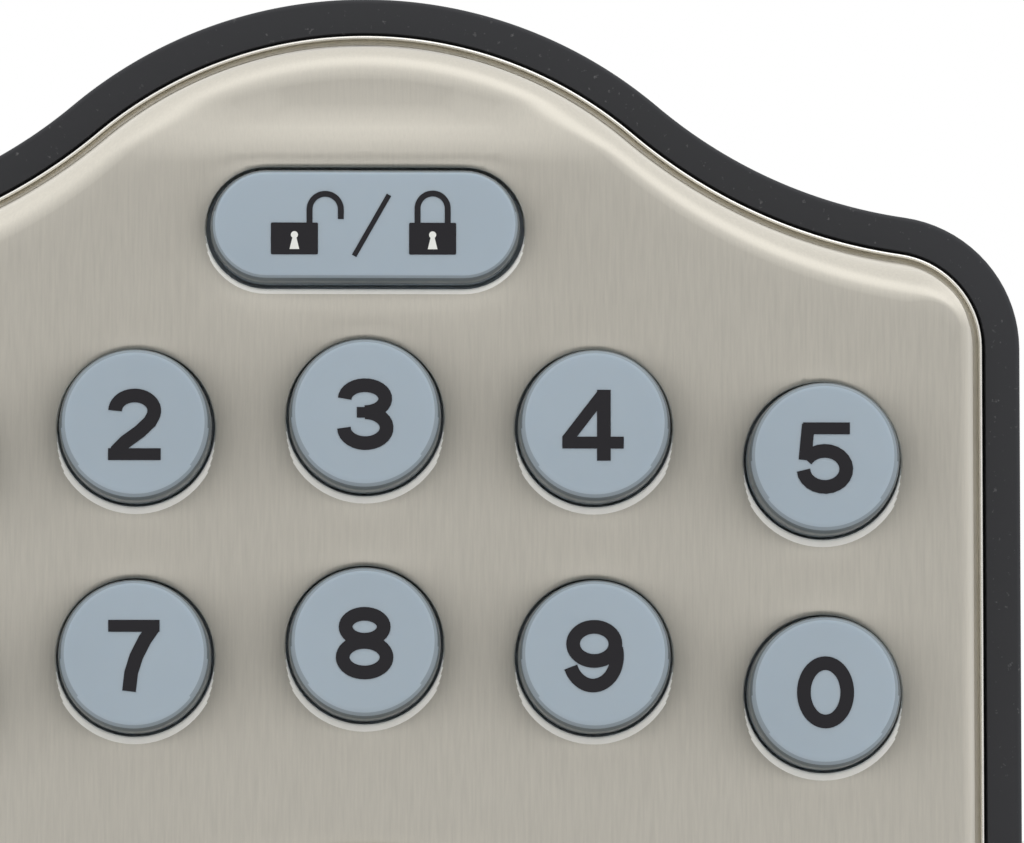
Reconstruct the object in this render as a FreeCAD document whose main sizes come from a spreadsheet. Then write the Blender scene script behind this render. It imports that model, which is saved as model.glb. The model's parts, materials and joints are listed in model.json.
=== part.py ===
import FreeCAD, Part
import math
import operator
import os
import sys

import Sketcher
from FreeCAD import Placement, Rotation, Vector

sys.path.append(os.path.join(FreeCAD.getHomePath(), "Mod", "PartDesign"))
from fcgear import fcgear, involute

# Keypad deadbolt as it sits on a 44.5 mm door.  Millimetres.  X to the right seen from outside,
# outside pieces at -Y, Z up.  The origin is the spindle axis at the door's outside face.

os.makedirs("parts", exist_ok=True)
doc = FreeCAD.newDocument("keypad_lock")
sheet = doc.addObject("Spreadsheet::Sheet", "dims")
nodes = []


# ---------------------------------------------------------------- sizes that carry their expression
class Size:
    """A number together with the sheet expression that gives it."""

    def __init__(self, value, text):
        self.value, self.text = float(value), text

    def join(self, other, sign, flip=False):
        a, b = (size(other), self) if flip else (self, size(other))
        work = {"+": operator.add, "-": operator.sub, "*": operator.mul, "/": operator.truediv}[sign]
        return Size(work(a.value, b.value), f"({a.text} {sign} {b.text})")

    def __add__(self, other):
        return self.join(other, "+")

    def __radd__(self, other):
        return self.join(other, "+", True)

    def __sub__(self, other):
        return self.join(other, "-")

    def __rsub__(self, other):
        return self.join(other, "-", True)

    def __mul__(self, other):
        return self.join(other, "*")

    def __rmul__(self, other):
        return self.join(other, "*", True)

    def __truediv__(self, other):
        return self.join(other, "/")

    def __neg__(self):
        return Size(-self.value, f"(0 - {self.text})")


def size(x):
    return x if isinstance(x, Size) else Size(x, f"{x:.6g}")


rows = 0


def dim(name, value):
    global rows
    rows += 1
    sheet.set(f"A{rows}", name)
    sheet.set(f"B{rows}", f"{value:g}")
    sheet.setAlias(f"B{rows}", name)
    return Size(value, "dims." + name)


# door and outline
door = dim("door_thickness", 44.5)
bore = dim("door_bore_radius", 27.0)
half_w = dim("plate_half_width", 35.76)
crown_r = dim("crown_radius", 24.08)
hollow_r = dim("hollow_radius", 30.40)
corner_r = dim("corner_radius", 5.66)
crown_z = dim("crown_centre_height", 48.51)
corner_z = dim("corner_centre_height", 54.38)
middle_z = dim("outline_middle_height", 16.6)
rise = dim("inside_cover_rise", 4.0)
# outside shell
gasket_t = dim("gasket_depth", 3.0)
gasket_out = dim("gasket_border", 2.04)
front = dim("plate_front_depth", 17.0)
wall = dim("plate_wall", 1.7)
draft = dim("plate_draft_angle", 6.5)
edge_r = dim("plate_edge_radius", 2.6)
opening_r = dim("collar_opening_radius", 26.0)
# keys
key_r = dim("key_radius", 4.24)
hole_r = dim("key_hole_radius", 4.4)
proud = dim("key_proud", 2.2)
oval_proud = dim("oval_key_proud", 1.2)
flange_t = dim("key_flange_thickness", 0.8)
pitch = dim("key_column_pitch", 12.75)
oval_w = dim("oval_width", 17.3)
oval_t = dim("oval_height", 6.3)
oval_z = dim("oval_key_height", 59.9)
board_z = dim("board_lower_edge", 29.3)
# cylinder and collar
collar_r = dim("collar_radius", 25.6)
hub_r = dim("collar_hub_radius", 22.95)
tower_r = dim("collar_tower_radius", 28.3)
cyl_r = dim("cylinder_radius", 17.0)
plug_r = dim("plug_radius", 6.5)
running = dim("running_clearance", 0.05)
# bolts and latch
bolt_z = dim("through_bolt_offset", 22.5)
bolt_r = dim("through_bolt_radius", 2.0)
backset = dim("backset", 60.0)
throw = dim("bolt_throw", 25.4)
latch_y = dim("latch_centre_depth", 22.25)
crank = dim("crank_radius", 17.96)
pin_r = dim("crank_pin_radius", 1.5)
barrel_r = dim("latch_barrel_radius", 12.4)
# inside unit
plate_t = dim("inside_plate_thickness", 2.0)
inner = dim("inside_cover_depth", 81.0)
cell_r = dim("cell_radius", 8.5)
cell_h = dim("cell_length", 33.3)
cell_z = dim("cell_lower_end", 20.2)
cell_pitch = dim("cell_pitch", 17.6)
cell_y = dim("cell_centre_depth", 66.4)
module = dim("gear_module", 0.8)
gear_c = dim("gear_centre_offset", 13.68)
doc.recompute()


# ---------------------------------------------------------------- helpers
def bind(obj, prop, value):
    value = size(value)
    if "dims." in value.text:
        obj.setExpression(prop, value.text)
    elif prop.startswith("Placement.Base."):
        place = obj.Placement
        setattr(place.Base, prop[-1], value.value)
        obj.Placement = place
    else:
        setattr(obj, prop, value.value)


def hold(sk, kind, refs, value):
    value = size(value)
    i = sk.addConstraint(Sketcher.Constraint(kind, *refs, value.value))
    if "dims." in value.text:
        sk.setExpression(f"Constraints[{i}]", value.text)


def pin_point(sk, geo, pos, x, z):
    hold(sk, "DistanceX", (-1, 1, geo, pos), x)
    hold(sk, "DistanceY", (-1, 1, geo, pos), z)


def body(name):
    return doc.addObject("PartDesign::Body", name)


def sketch(owner, plane, at=0):
    """Sketch on an origin plane; on XZ, at is the Y position and pads run towards -Y."""
    sk = owner.newObject("Sketcher::SketchObject", owner.Name + "_sketch")
    ref = next(f for f in owner.Origin.OriginFeatures if f.Role == plane + "_Plane")
    sk.AttachmentSupport = [(ref, "")]
    sk.MapMode = "FlatFace"
    at = -size(at) if plane == "XZ" else size(at)
    if "dims." in at.text:
        sk.setExpression("AttachmentOffset.Base.z", at.text)
    else:
        sk.AttachmentOffset = Placement(Vector(0, 0, at.value), Rotation())
    return sk


def circle(sk, x, z, r):
    x, z, r = size(x), size(z), size(r)
    g = sk.addGeometry(Part.Circle(Vector(x.value, z.value, 0), Vector(0, 0, 1), r.value))
    pin_point(sk, g, 3, x, z)
    hold(sk, "Radius", (g,), r)


def polygon(sk, points):
    points = [(size(x), size(z)) for x, z in points]
    ring = list(zip(points, points[1:] + points[:1]))
    lines = []
    for a, b in ring:
        ends = Vector(a[0].value, a[1].value, 0), Vector(b[0].value, b[1].value, 0)
        lines.append(sk.addGeometry(Part.LineSegment(*ends)))
    for g, nxt in zip(lines, lines[1:] + lines[:1]):
        sk.addConstraint(Sketcher.Constraint("Coincident", g, 2, nxt, 1))
    for g, (x, z) in zip(lines, points):
        pin_point(sk, g, 1, x, z)


def rect(sk, x0, z0, x1, z1):
    polygon(sk, [(x0, z0), (x1, z0), (x1, z1), (x0, z1)])


def arc(sk, centre, r, a, b, ccw=True):
    a, b = (a, b) if ccw else (b, a)
    shape = Part.Circle(Vector(*centre, 0), Vector(0, 0, 1), r)
    g = sk.addGeometry(Part.ArcOfCircle(shape, math.radians(a), math.radians(b)))
    return (g, 1, 2) if ccw else (g, 2, 1)


def line(sk, p, q):
    return sk.addGeometry(Part.LineSegment(Vector(*p, 0), Vector(*q, 0))), 1, 2


def chain(sk, path):
    for (g1, _, end), (g2, start, _) in zip(path, path[1:] + path[:1]):
        sk.addConstraint(Sketcher.Constraint("Tangent", g1, end, g2, start))


def stadium(sk, x, z, w, t):
    """Round-ended slot lying along the sketch's X."""
    x, z, w, t = size(x), size(z), size(w), size(t)
    r, c = t / 2, (w - t) / 2
    x0, x1, zz, rr = (x - c).value, (x + c).value, z.value, r.value
    path = [line(sk, (x0, zz - rr), (x1, zz - rr)), arc(sk, (x1, zz), rr, 270, 450),
            line(sk, (x1, zz + rr), (x0, zz + rr)), arc(sk, (x0, zz), rr, 90, 270)]
    chain(sk, path)
    pin_point(sk, path[1][0], 3, x + c, z)
    pin_point(sk, path[3][0], 3, x - c, z)
    hold(sk, "Radius", (path[1][0],), r)


def round_rect(sk, x0, z0, x1, z1, r):
    x0, z0, x1, z1, r = [size(q) for q in (x0, z0, x1, z1, r)]
    a, b, c, d, k = x0.value, z0.value, x1.value, z1.value, r.value
    path = [line(sk, (a + k, b), (c - k, b)), arc(sk, (c - k, b + k), k, 270, 360),
            line(sk, (c, b + k), (c, d - k)), arc(sk, (c - k, d - k), k, 0, 90),
            line(sk, (c - k, d), (a + k, d)), arc(sk, (a + k, d - k), k, 90, 180),
            line(sk, (a, d - k), (a, b + k)), arc(sk, (a + k, b + k), k, 180, 270)]
    chain(sk, path)
    corners = {1: (x1 - r, z0 + r), 3: (x1 - r, z1 - r), 5: (x0 + r, z1 - r), 7: (x0 + r, z0 + r)}
    for i, (x, z) in corners.items():
        pin_point(sk, path[i][0], 3, x, z)
        hold(sk, "Radius", (path[i][0],), r)


def arch(sk, grow=0, up=0):
    """The lock's outline, moved out by grow: crowns, hollows and square shoulders, all tangent."""
    grow, up = size(grow), size(up)
    rk, rh, rc, kx = crown_r + grow, hollow_r - grow, corner_r + grow, half_w - corner_r
    top, shoulder = crown_z + up, corner_z + up
    base, low = 2 * middle_z - crown_z, 2 * middle_z - corner_z

    def hollow(zc, zk, side):
        dx, dz = kx.value, zk.value - zc.value
        ra, rb, d = rk.value + rh.value, rh.value + rc.value, math.hypot(dx, dz)
        along = (ra * ra - rb * rb + d * d) / (2 * d)
        off = side * math.sqrt(ra * ra - along * along)
        return (dx * along - dz * off) / d, zc.value + (dz * along + dx * off) / d

    def deg(p, q):
        return math.degrees(math.atan2(q[1] - p[1], q[0] - p[0])) % 360

    w, k, b = (half_w + grow).value, (0, top.value), (0, base.value)
    (ux, uz), (lx, lz) = hollow(top, shoulder, 1), hollow(base, low, -1)
    u, ul, l, ll = (ux, uz), (-ux, uz), (lx, lz), (-lx, lz)
    c1, c2 = (kx.value, shoulder.value), (-kx.value, shoulder.value)
    c3, c4 = (-kx.value, low.value), (kx.value, low.value)
    path = [line(sk, (w, low.value), (w, shoulder.value)),
            arc(sk, c1, rc.value, 0, deg(c1, u)),
            arc(sk, u, rh.value, deg(u, c1), deg(u, k), False),
            arc(sk, k, rk.value, deg(k, u), deg(k, ul)),
            arc(sk, ul, rh.value, deg(ul, k), deg(ul, c2), False),
            arc(sk, c2, rc.value, deg(c2, ul), 180),
            line(sk, (-w, shoulder.value), (-w, low.value)),
            arc(sk, c3, rc.value, 180, deg(c3, ll)),
            arc(sk, ll, rh.value, deg(ll, c3), deg(ll, b), False),
            arc(sk, b, rk.value, deg(b, ll), deg(b, l)),
            arc(sk, l, rh.value, deg(l, b), deg(l, c4), False),
            arc(sk, c4, rc.value, deg(c4, l), 360)]
    chain(sk, path)
    fixed = {1: (kx, shoulder, rc), 3: (0, top, rk), 5: (-kx, shoulder, rc),
             7: (-kx, low, rc), 9: (0, base, rk), 11: (kx, low, rc)}
    for i, (x, z, r) in fixed.items():
        pin_point(sk, path[i][0], 3, x, z)
        hold(sk, "Radius", (path[i][0],), r)
    for i in (2, 4, 8, 10):
        hold(sk, "Radius", (path[i][0],), rh)


def pad(owner, sk, length, taper=0, back=False):
    f = owner.newObject("PartDesign::Pad", owner.Name + "_pad")
    f.Profile = sk
    f.Reversed = back
    bind(f, "Length", length)
    if size(taper).value:
        bind(f, "TaperAngle", -size(taper))
    sk.Visibility = False
    return f


def pocket(owner, sk, length, back=False):
    """Cut the same way a pad would run, or the other way with back."""
    doc.recompute()
    before = owner.Shape.Volume
    f = owner.newObject("PartDesign::Pocket", owner.Name + "_pocket")
    f.Profile = sk
    f.Reversed = not back
    bind(f, "Length", length)
    doc.recompute()
    if not owner.Shape.Volume < before - 1e-3:
        raise RuntimeError(f"{owner.Name}: a pocket cut nothing")
    return f


def spin(owner, sk):
    """Turn a profile drawn on the XY plane about the Y axis."""
    f = owner.newObject("PartDesign::Revolution", owner.Name + "_turn")
    f.Profile = sk
    f.ReferenceAxis = (sk, ["V_Axis"])
    f.Angle = 360
    return f


def soften(owner, radius, pick):
    """Fillet the edges of the body's current tip that pick chooses."""
    doc.recompute()
    tip = owner.Tip
    chosen = [f"Edge{i + 1}" for i, e in enumerate(tip.Shape.Edges) if pick(e)]
    if not chosen:
        raise RuntimeError(f"{owner.Name}: no edge to soften")
    f = owner.newObject("PartDesign::Fillet", owner.Name + "_fillet")
    f.Base = (tip, chosen)
    bind(f, "Radius", radius)
    doc.recompute()
    return f


def level(y):
    """Picks edges that lie flat at one depth."""
    return lambda e: abs(e.BoundBox.YMin - size(y).value) < 1e-3 and e.BoundBox.YLength < 1e-3


AXES = {"X": Rotation(Vector(0, 1, 0), 90), "Y": Rotation(Vector(1, 0, 0), -90), "Z": Rotation()}
count = 0


def new(kind, label):
    global count
    count += 1
    return doc.addObject(kind, f"{label}_{count}")


def rod(r, start, end, at, axis="Y"):
    """Round bar along one axis from start to end; at gives its other two positions."""
    f = new("Part::Cylinder", "rod")
    f.Placement = Placement(Vector(), AXES[axis])
    bind(f, "Radius", r)
    bind(f, "Height", size(end) - size(start))
    others = [a for a in "XYZ" if a != axis]
    bind(f, "Placement.Base." + axis.lower(), start)
    for name, value in zip(others, at):
        bind(f, "Placement.Base." + name.lower(), value)
    return f


def block(x0, x1, y0, y1, z0, z1):
    f = new("Part::Box", "block")
    for prop, a, b in (("Length", x0, x1), ("Width", y0, y1), ("Height", z0, z1)):
        bind(f, prop, size(b) - size(a))
    for a, value in zip("xyz", (x0, y0, z0)):
        bind(f, "Placement.Base." + a, value)
    return f


def ball(r, x, y, z):
    f = new("Part::Sphere", "ball")
    bind(f, "Radius", r)
    for a, value in zip("xyz", (x, y, z)):
        bind(f, "Placement.Base." + a, value)
    return f


def join(parts):
    if len(parts) == 1:
        return parts[0]
    f = new("Part::MultiFuse", "join")
    f.Shapes = parts
    f.Refine = True
    return f


def group(parts):
    """Separate pieces kept in one node."""
    f = new("Part::Compound", "group")
    f.Links = parts
    return f


def less(base, tools):
    f = new("Part::Cut", "less")
    f.Base = base
    f.Tool = join(tools)
    f.Refine = True
    return f


def both(a, b):
    f = new("Part::Common", "both")
    f.Base, f.Tool = a, b
    return f


def node(obj, name):
    obj.Label = name
    nodes.append(obj)
    return obj


def fixed_shape(shape, y, label):
    """A shape drawn straight from sheet values, moved to depth y."""
    f = new("Part::Feature", label)
    f.Shape = shape
    bind(f, "Placement.Base.y", y)
    return f


# ---------------------------------------------------------------- key positions
first = [(-2, 46.9), (-1, 48.7), (0, 49.3), (1, 48.7), (2, 46.9)]
second = [(-2, 33.9), (-1, 35.9), (0, 36.6), (1, 35.9), (2, 33.9)]
key_at = {}
for labels, row_name, line_up in (("12345", "first", first), ("67890", "second", second)):
    for digit, (column, z) in zip(labels, line_up):
        key_at[digit] = (pitch * column, dim(f"{row_name}_row_{'abcde'[column + 2]}", z))
doc.recompute()
boss_at = [(sx * x, z) for x, z in ((18.2, 56.9), (27.0, 22.0), (27.0, -20.0)) for sx in (-1, 1)]
inside_wall = front - wall          # depth of the plate's inner face

# ---------------------------------------------------------------- outside: gasket, plate, chassis
b = body("weather_gasket")
sk = sketch(b, "XZ", 0)
arch(sk, gasket_out)
arch(sk, -4.0)
pad(b, sk, gasket_t - 0.02)


def outer_edge(e):
    """Front edges of the gasket's outside; those of its opening stay within a smaller box."""
    box = e.BoundBox
    within = box.XMax < 32.5 and box.XMin > -32.5 and box.ZMax < 69.5 and box.ZMin > -36.2
    far = max(abs(box.XMax), abs(box.XMin), box.ZMax - 32, 65.2 - box.ZMin) > 34.1 - 1e-6
    return level(-(gasket_t - 0.02))(e) and far and not within


soften(b, 0.7, outer_edge)
node(b, "weather_gasket")

b = body("front_cover")
sk = sketch(b, "XZ", -gasket_t)
arch(sk, 0)
pad(b, sk, 0.8)
sk = sketch(b, "XZ", -(gasket_t + 0.8))
arch(sk, -0.5)
pad(b, sk, front - gasket_t - 0.8, draft)
soften(b, edge_r, level(-front))
sk = sketch(b, "XZ", -gasket_t)
arch(sk, -3.9)
pocket(b, sk, inside_wall - gasket_t)
sk = sketch(b, "XZ", -inside_wall)
for x, z in boss_at:
    circle(sk, x, z, 2.6)
pad(b, sk, inside_wall - gasket_t, back=True)
sk = sketch(b, "XZ", -gasket_t)
for x, z in boss_at:
    circle(sk, x, z, 1.3)
pocket(b, sk, 9.0)
sk = sketch(b, "XZ", -front)
for x, z in key_at.values():
    circle(sk, x, z, hole_r)
stadium(sk, 0, oval_z, oval_w + 0.5, oval_t + 0.5)
circle(sk, 0, 0, opening_r)
pocket(b, sk, wall, back=True)
soften(b, 0.45, lambda e: level(-front)(e) and e.BoundBox.XLength < 53 and e.BoundBox.ZLength < 53
       and abs(e.BoundBox.Center.x) < 27 and e.BoundBox.ZMin > -27 and e.BoundBox.ZMax < 65.3)
node(b, "front_cover")

b = body("outer_chassis")
sk = sketch(b, "XZ", -0.5)
arch(sk, -4.2)
pad(b, sk, gasket_t - 0.5)
sk = sketch(b, "XZ", -gasket_t)                                   # tower the collar turns on
circle(sk, 0, 0, tower_r)
pad(b, sk, 10.6)
sk = sketch(b, "XZ", -(gasket_t + 10.6))
circle(sk, 0, 0, hub_r)
pad(b, sk, 2.9)
sk = sketch(b, "XZ", -gasket_t)                                   # board stand-offs
for x, z in ((-6.4, 42.9), (6.4, 42.9), (-19.1, 41.3), (19.1, 41.3), (-29.0, 40.4), (29.0, 40.4)):
    circle(sk, x, z, 1.8)
pad(b, sk, 6.75)
sk = sketch(b, "XZ", -0.5)                                        # hollow behind the tower
circle(sk, 0, 0, 24.6)
circle(sk, 0, 0, 19.2)
pocket(b, sk, 10.5)
sk = sketch(b, "XZ", -0.5)                                        # posts for the through-bolts
for side in (-1, 1):
    circle(sk, 0, bolt_z * side, 3.5)
pad(b, sk, 7.5)
sk = sketch(b, "XZ", -0.5)
for side in (-1, 1):
    circle(sk, 0, bolt_z * side, bolt_r + 0.05)
pocket(b, sk, 5.5)
sk = sketch(b, "XZ", -0.5)
circle(sk, 0, 0, cyl_r + 0.05)
pocket(b, sk, 17.0)
sk = sketch(b, "XZ", -0.5)                                        # screw holes with sunk heads
for x, z in boss_at:
    circle(sk, x, z, 1.6)
pocket(b, sk, 3.0)
sk = sketch(b, "XZ", -0.5)
for x, z in boss_at:
    circle(sk, x, z, 2.6)
pocket(b, sk, 1.3)
sk = sketch(b, "XZ", -gasket_t)                                   # cable notch into the hollow
polygon(sk, [(-20.5, 16.0), (-11.0, 14.5), (-11.0, 29.5), (-20.5, 29.5)])
pocket(b, sk, 6.5)
node(b, "outer_chassis")

ribs = [rod(1.0, -0.5, 5.0, (sx * 18.31, sz * 18.31)) for sx in (-1, 1) for sz in (-1, 1)]
node(less(join([rod(bore - 0.4, -0.5, 5.0, (0, 0))] + ribs), [rod(bore - 2.2, -0.6, 5.1, (0, 0))]), "bore_ring")

screws = [join([rod(1.25, -11.0, -1.6, (x, z)), rod(2.4, -1.7, -0.6, (x, z))]) for x, z in boss_at]
screws = [less(s, [block(size(x) - 1.6, size(x) + 1.6, -1.1, -0.4, size(z) - 0.3, size(z) + 0.3),
                   block(size(x) - 0.3, size(x) + 0.3, -1.1, -0.4, size(z) - 1.6, size(z) + 1.6)])
          for s, (x, z) in zip(screws, boss_at)]
node(group(screws), "cover_screws")

# ---------------------------------------------------------------- keys, membrane, board
flange_y = -(inside_wall - 0.1)                                   # front face of the key flanges
cap_y = -(front + proud)
for digit, (x, z) in key_at.items():
    b = body("key_" + digit)
    sk = sketch(b, "XZ", flange_y + flange_t)
    circle(sk, x, z, key_r + 0.9)
    pad(b, sk, flange_t)
    sk = sketch(b, "XZ", flange_y)
    circle(sk, x, z, key_r)
    pad(b, sk, flange_y - cap_y)
    soften(b, 0.35, level(cap_y))
    sk = sketch(b, "XZ", flange_y + flange_t + 1.1)
    circle(sk, x, z, 2.0)
    pad(b, sk, 1.1)
    node(b, "key_" + digit)

b = body("key_lock")
sk = sketch(b, "XZ", flange_y + flange_t)
stadium(sk, 0, oval_z, oval_w + 1.8, oval_t + 1.8)
pad(b, sk, flange_t)
sk = sketch(b, "XZ", flange_y)
stadium(sk, 0, oval_z, oval_w, oval_t)
pad(b, sk, flange_y + front + oval_proud)
soften(b, 0.35, level(-(front + oval_proud)))
sk = sketch(b, "XZ", flange_y + flange_t + 1.1)
stadium(sk, 0, oval_z, 9.0, 4.0)
pad(b, sk, 1.1)
node(b, "key_lock")

seat_y = -12.3                                                    # front of the silicone sheet
led_at = [(pitch * (c + 0.5), z) for c, z in ((-2, 41.3), (-1, 42.9), (0, 42.9), (1, 41.3))]
b = body("keypad_membrane")
sk = sketch(b, "XZ", -11.6)
arch(sk, -4.8)
pad(b, sk, 0.7)
sk = sketch(b, "XZ", seat_y)
for x, z in key_at.values():
    circle(sk, x, z, 3.4)
    circle(sk, x, z, 2.3)
stadium(sk, 0, oval_z, 11.8, 6.8)
stadium(sk, 0, oval_z, 9.6, 4.6)
pad(b, sk, 0.9)
sk = sketch(b, "XZ", -11.6)
rect(sk, -40, -45, 40, board_z + 0.5)
for x, z in boss_at[:2]:
    circle(sk, x, z, 3.1)
for x, z in led_at:
    rect(sk, x - 1.3, size(z) - 0.9, x + 1.3, size(z) + 0.9)
pocket(b, sk, 0.7)
node(b, "keypad_membrane")

node(group([rod(2.6, -11.6, -11.4, at) for at in key_at.values()]
           + [rod(2.6, -11.6, -11.4, (x, oval_z)) for x in (-4.2, 4.2)]), "switch_domes")

b = body("keypad_board")
sk = sketch(b, "XZ", -9.8)
arch(sk, -4.4)
pad(b, sk, 1.6)
sk = sketch(b, "XZ", -9.8)
rect(sk, -40, -45, 40, board_z)
for x, z in boss_at[:2]:
    circle(sk, x, z, 2.8)
pocket(b, sk, 1.6)
node(b, "keypad_board")

lamps = [block(x - 0.8, x + 0.8, -12.0, -11.4, size(z) - 0.4, size(z) + 0.4) for x, z in led_at]
node(group(lamps), "keypad_leds")
chips = [(-4.0, 4.0, 33.0, 41.0, 1.0), (8.5, 14.5, 33.0, 38.0, 1.4), (-14.5, -9.5, 46.5, 50.5, 1.4),
         (22.5, 26.5, 47.0, 50.0, 1.1), (10.0, 14.0, 50.0, 53.5, 1.1), (-3.0, 3.0, 56.0, 60.0, 1.2),
         (-27.0, -24.0, 50.0, 52.0, 0.8), (17.0, 19.0, 33.0, 34.2, 0.8)]
node(group([block(x0, x1, -9.8, -9.8 + t, z0, z1) for x0, x1, z0, z1, t in chips]), "keypad_chips")
node(join([block(-20.0, -12.0, -9.8, -6.4, 31.0, 35.0), block(-19.0, -13.0, -7.6, -6.6, 30.2, 31.0)]),
     "keypad_socket")

# ---------------------------------------------------------------- security collar and lock cylinder
b = body("security_collar")
sk = sketch(b, "XY")
flange_r = tower_r - 0.4
polygon(sk, [(hub_r + running, -13.75), (flange_r, -13.75), (flange_r, -15.15), (collar_r, -15.15),
             (collar_r, -18.6), (24.6, -22.5), (22.3, -27.0), (20.4, -29.6), (cyl_r + 0.6, -29.6),
             (cyl_r + 0.6, -24.5), (20.6, -20.0), (hub_r + running, -17.4)])
spin(b, sk)
soften(b, 0.8, lambda e: level(-29.6)(e) and e.BoundBox.XLength > 39)
node(b, "security_collar")

housing = less(rod(cyl_r, -29.0, -1.0, (0, 0)), [rod(plug_r + running, -29.0, -1.0, (0, 0))])
chamber_y = [-24.5, -20.7, -16.9, -13.1, -9.3]
housing = less(housing, [rod(1.5, 5.0, 14.6, (0, y), "Z") for y in chamber_y]
               + [rod(2.05, -12.0, 0, (x, z)) for x, z in ((-11.8, -6.0), (11.8, -6.0))])
node(housing, "cylinder_housing")

b = body("plug_blank")
sk = sketch(b, "XY")
polygon(sk, [(0, -4.0), (plug_r, -4.0), (plug_r, -29.05), (8.0, -29.05), (8.0, -30.2), (7.5, -30.7),
             (0, -30.7)])
spin(b, sk)
sk = sketch(b, "XZ", -30.7)                                       # keyway with one side ward
polygon(sk, [(-1.0, -4.6), (1.0, -4.6), (1.0, -1.6), (0.35, -1.0), (1.0, -0.4), (1.0, 4.0), (-1.0, 4.0),
             (-1.0, 0.9), (-0.35, 0.3), (-1.0, -0.3)])
pocket(b, sk, 23.0, back=True)
plug = less(b, [rod(1.5, 0.4, 7.0, (0, y), "Z") for y in chamber_y]
            + [block(-1.6, 1.6, -30.8, -30.3, -5.2, 4.6)])
node(plug, "cylinder_plug")

tips = [0.9, 1.7, 1.1, 2.1, 1.4]
node(group([join([rod(1.42, t + 0.9, 6.2, (0, y), "Z"), ball(1.42, 0, y, t + 0.9)])
            for t, y in zip(tips, chamber_y)]), "key_pins")
node(group([rod(1.42, 6.75, 10.2, (0, y), "Z") for y in chamber_y]), "driver_pins")


def coil(r, wire_r, turns, low, high, y, x=0):
    """Compression spring standing along Z."""
    helix = Part.makeHelix((high - low) / turns, high - low, r)
    helix.translate(Vector(0, 0, low))
    start = Part.Wire(Part.Circle(Vector(r, 0, low), Vector(0, 1, 0.15), wire_r).toShape())
    shape = Part.Wire(helix.Edges).makePipeShell([start], True, True)
    shape.translate(Vector(x, 0, 0))
    return fixed_shape(shape, y, "coil")


node(group([coil(1.1, 0.16, 6, 10.45, 14.4, y) for y in chamber_y]), "pin_springs")

lobe = less(rod(5.6, -2.4, -0.2, (0, 0)), [block(-6, 6, -2.5, 0, -2.2, 6),
                                           block(-6, -1.5, -2.5, 0, -6, 6),
                                           block(1.5, 6, -2.5, 0, -6, 6)])
node(join([rod(6.0, -3.95, -2.4, (0, 0)), lobe]), "plug_cam")

# ---------------------------------------------------------------- spindle that turns the bolt
lobe = less(rod(5.6, -2.2, 0.3, (0, 0)), [block(-6, 6, -2.3, 0.4, -6, 2.2),
                                          block(-6, -1.5, -2.3, 0.4, -6, 6),
                                          block(1.5, 6, -2.3, 0.4, -6, 6)])
node(join([block(-3.2, 3.2, 1.6, 62.0, -0.8, 0.8), rod(6.0, 0.2, 1.7, (0, 0)), lobe]), "tailpiece")

slot = block(-3.3, 3.3, 10.0, 35.0, -0.9, 0.9)
side_y = 7.9                                                      # half depth of the latch case
b = body("hub_blank")
sk = sketch(b, "XZ", latch_y + side_y - 0.05)
circle(sk, 0, 0, 5.5)
pad(b, sk, 2 * side_y - 0.1)
sk = sketch(b, "XZ", latch_y + 0.2)                               # arm pointing down and to the right
reach = crank * math.sqrt(0.5)
polygon(sk, [(-3.2, -3.2), (3.2, 3.2), (reach + 1.35, -reach + 1.35), (reach - 1.35, -reach - 1.35)])
circle_x, circle_z = reach, -reach
pad(b, sk, 2.4)
sk = sketch(b, "XZ", latch_y + 0.2)
circle(sk, circle_x, circle_z, 1.9)
pad(b, sk, 2.4)
sk = sketch(b, "XZ", latch_y + 3.2)
circle(sk, circle_x, circle_z, pin_r)
pad(b, sk, 3.0)
node(less(b, [slot]), "latch_hub")

# ---------------------------------------------------------------- latch in the door
case = [block(-14.0, 27.6, latch_y - side_y, latch_y - side_y + 1.4, -9.8, 9.8),
        block(-14.0, 27.6, latch_y + side_y - 1.4, latch_y + side_y, -9.8, 9.8),
        block(-14.0, 27.6, latch_y - side_y, latch_y + side_y, 8.95, 9.8)]
case = less(join(case), [rod(5.5 + running, latch_y - side_y, latch_y + side_y, (0, 0)),
                         block(-14.0, -9.0, 10.0, 35.0, -10.0, -5.5)])
node(case, "latch_case")

b = body("latch_barrel")
sk = sketch(b, "YZ", 27.6)
circle(sk, latch_y, 0, barrel_r)
pad(b, sk, backset - 27.6)
sk = sketch(b, "YZ", 27.6)
polygon(sk, [(latch_y - 6.5, -8.9), (latch_y + 0.4, -8.9), (latch_y + 0.4, -10.9), (latch_y + 3.6, -10.9),
             (latch_y + 3.6, -8.9), (latch_y + 6.5, -8.9), (latch_y + 6.5, 8.9), (latch_y - 6.5, 8.9)])
pocket(b, sk, 28.0)
sk = sketch(b, "YZ", 55.6)
round_rect(sk, latch_y - 6.5, -8.9, latch_y + 6.5, 8.9, 2.2)
pocket(b, sk, 5.0)
node(b, "latch_barrel")

b = body("latch_faceplate")
sk = sketch(b, "YZ", backset - 2.8)
round_rect(sk, latch_y - 12.7, -28.575, latch_y + 12.7, 28.575, 6.35)
circle(sk, latch_y, 0, barrel_r + 0.02)
pad(b, sk, 2.8)
sk = sketch(b, "YZ", backset - 2.8)
for side in (-1, 1):
    circle(sk, latch_y, 20.65 * side, 2.3)
pocket(b, sk, 2.8)
node(b, "latch_faceplate")

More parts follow.
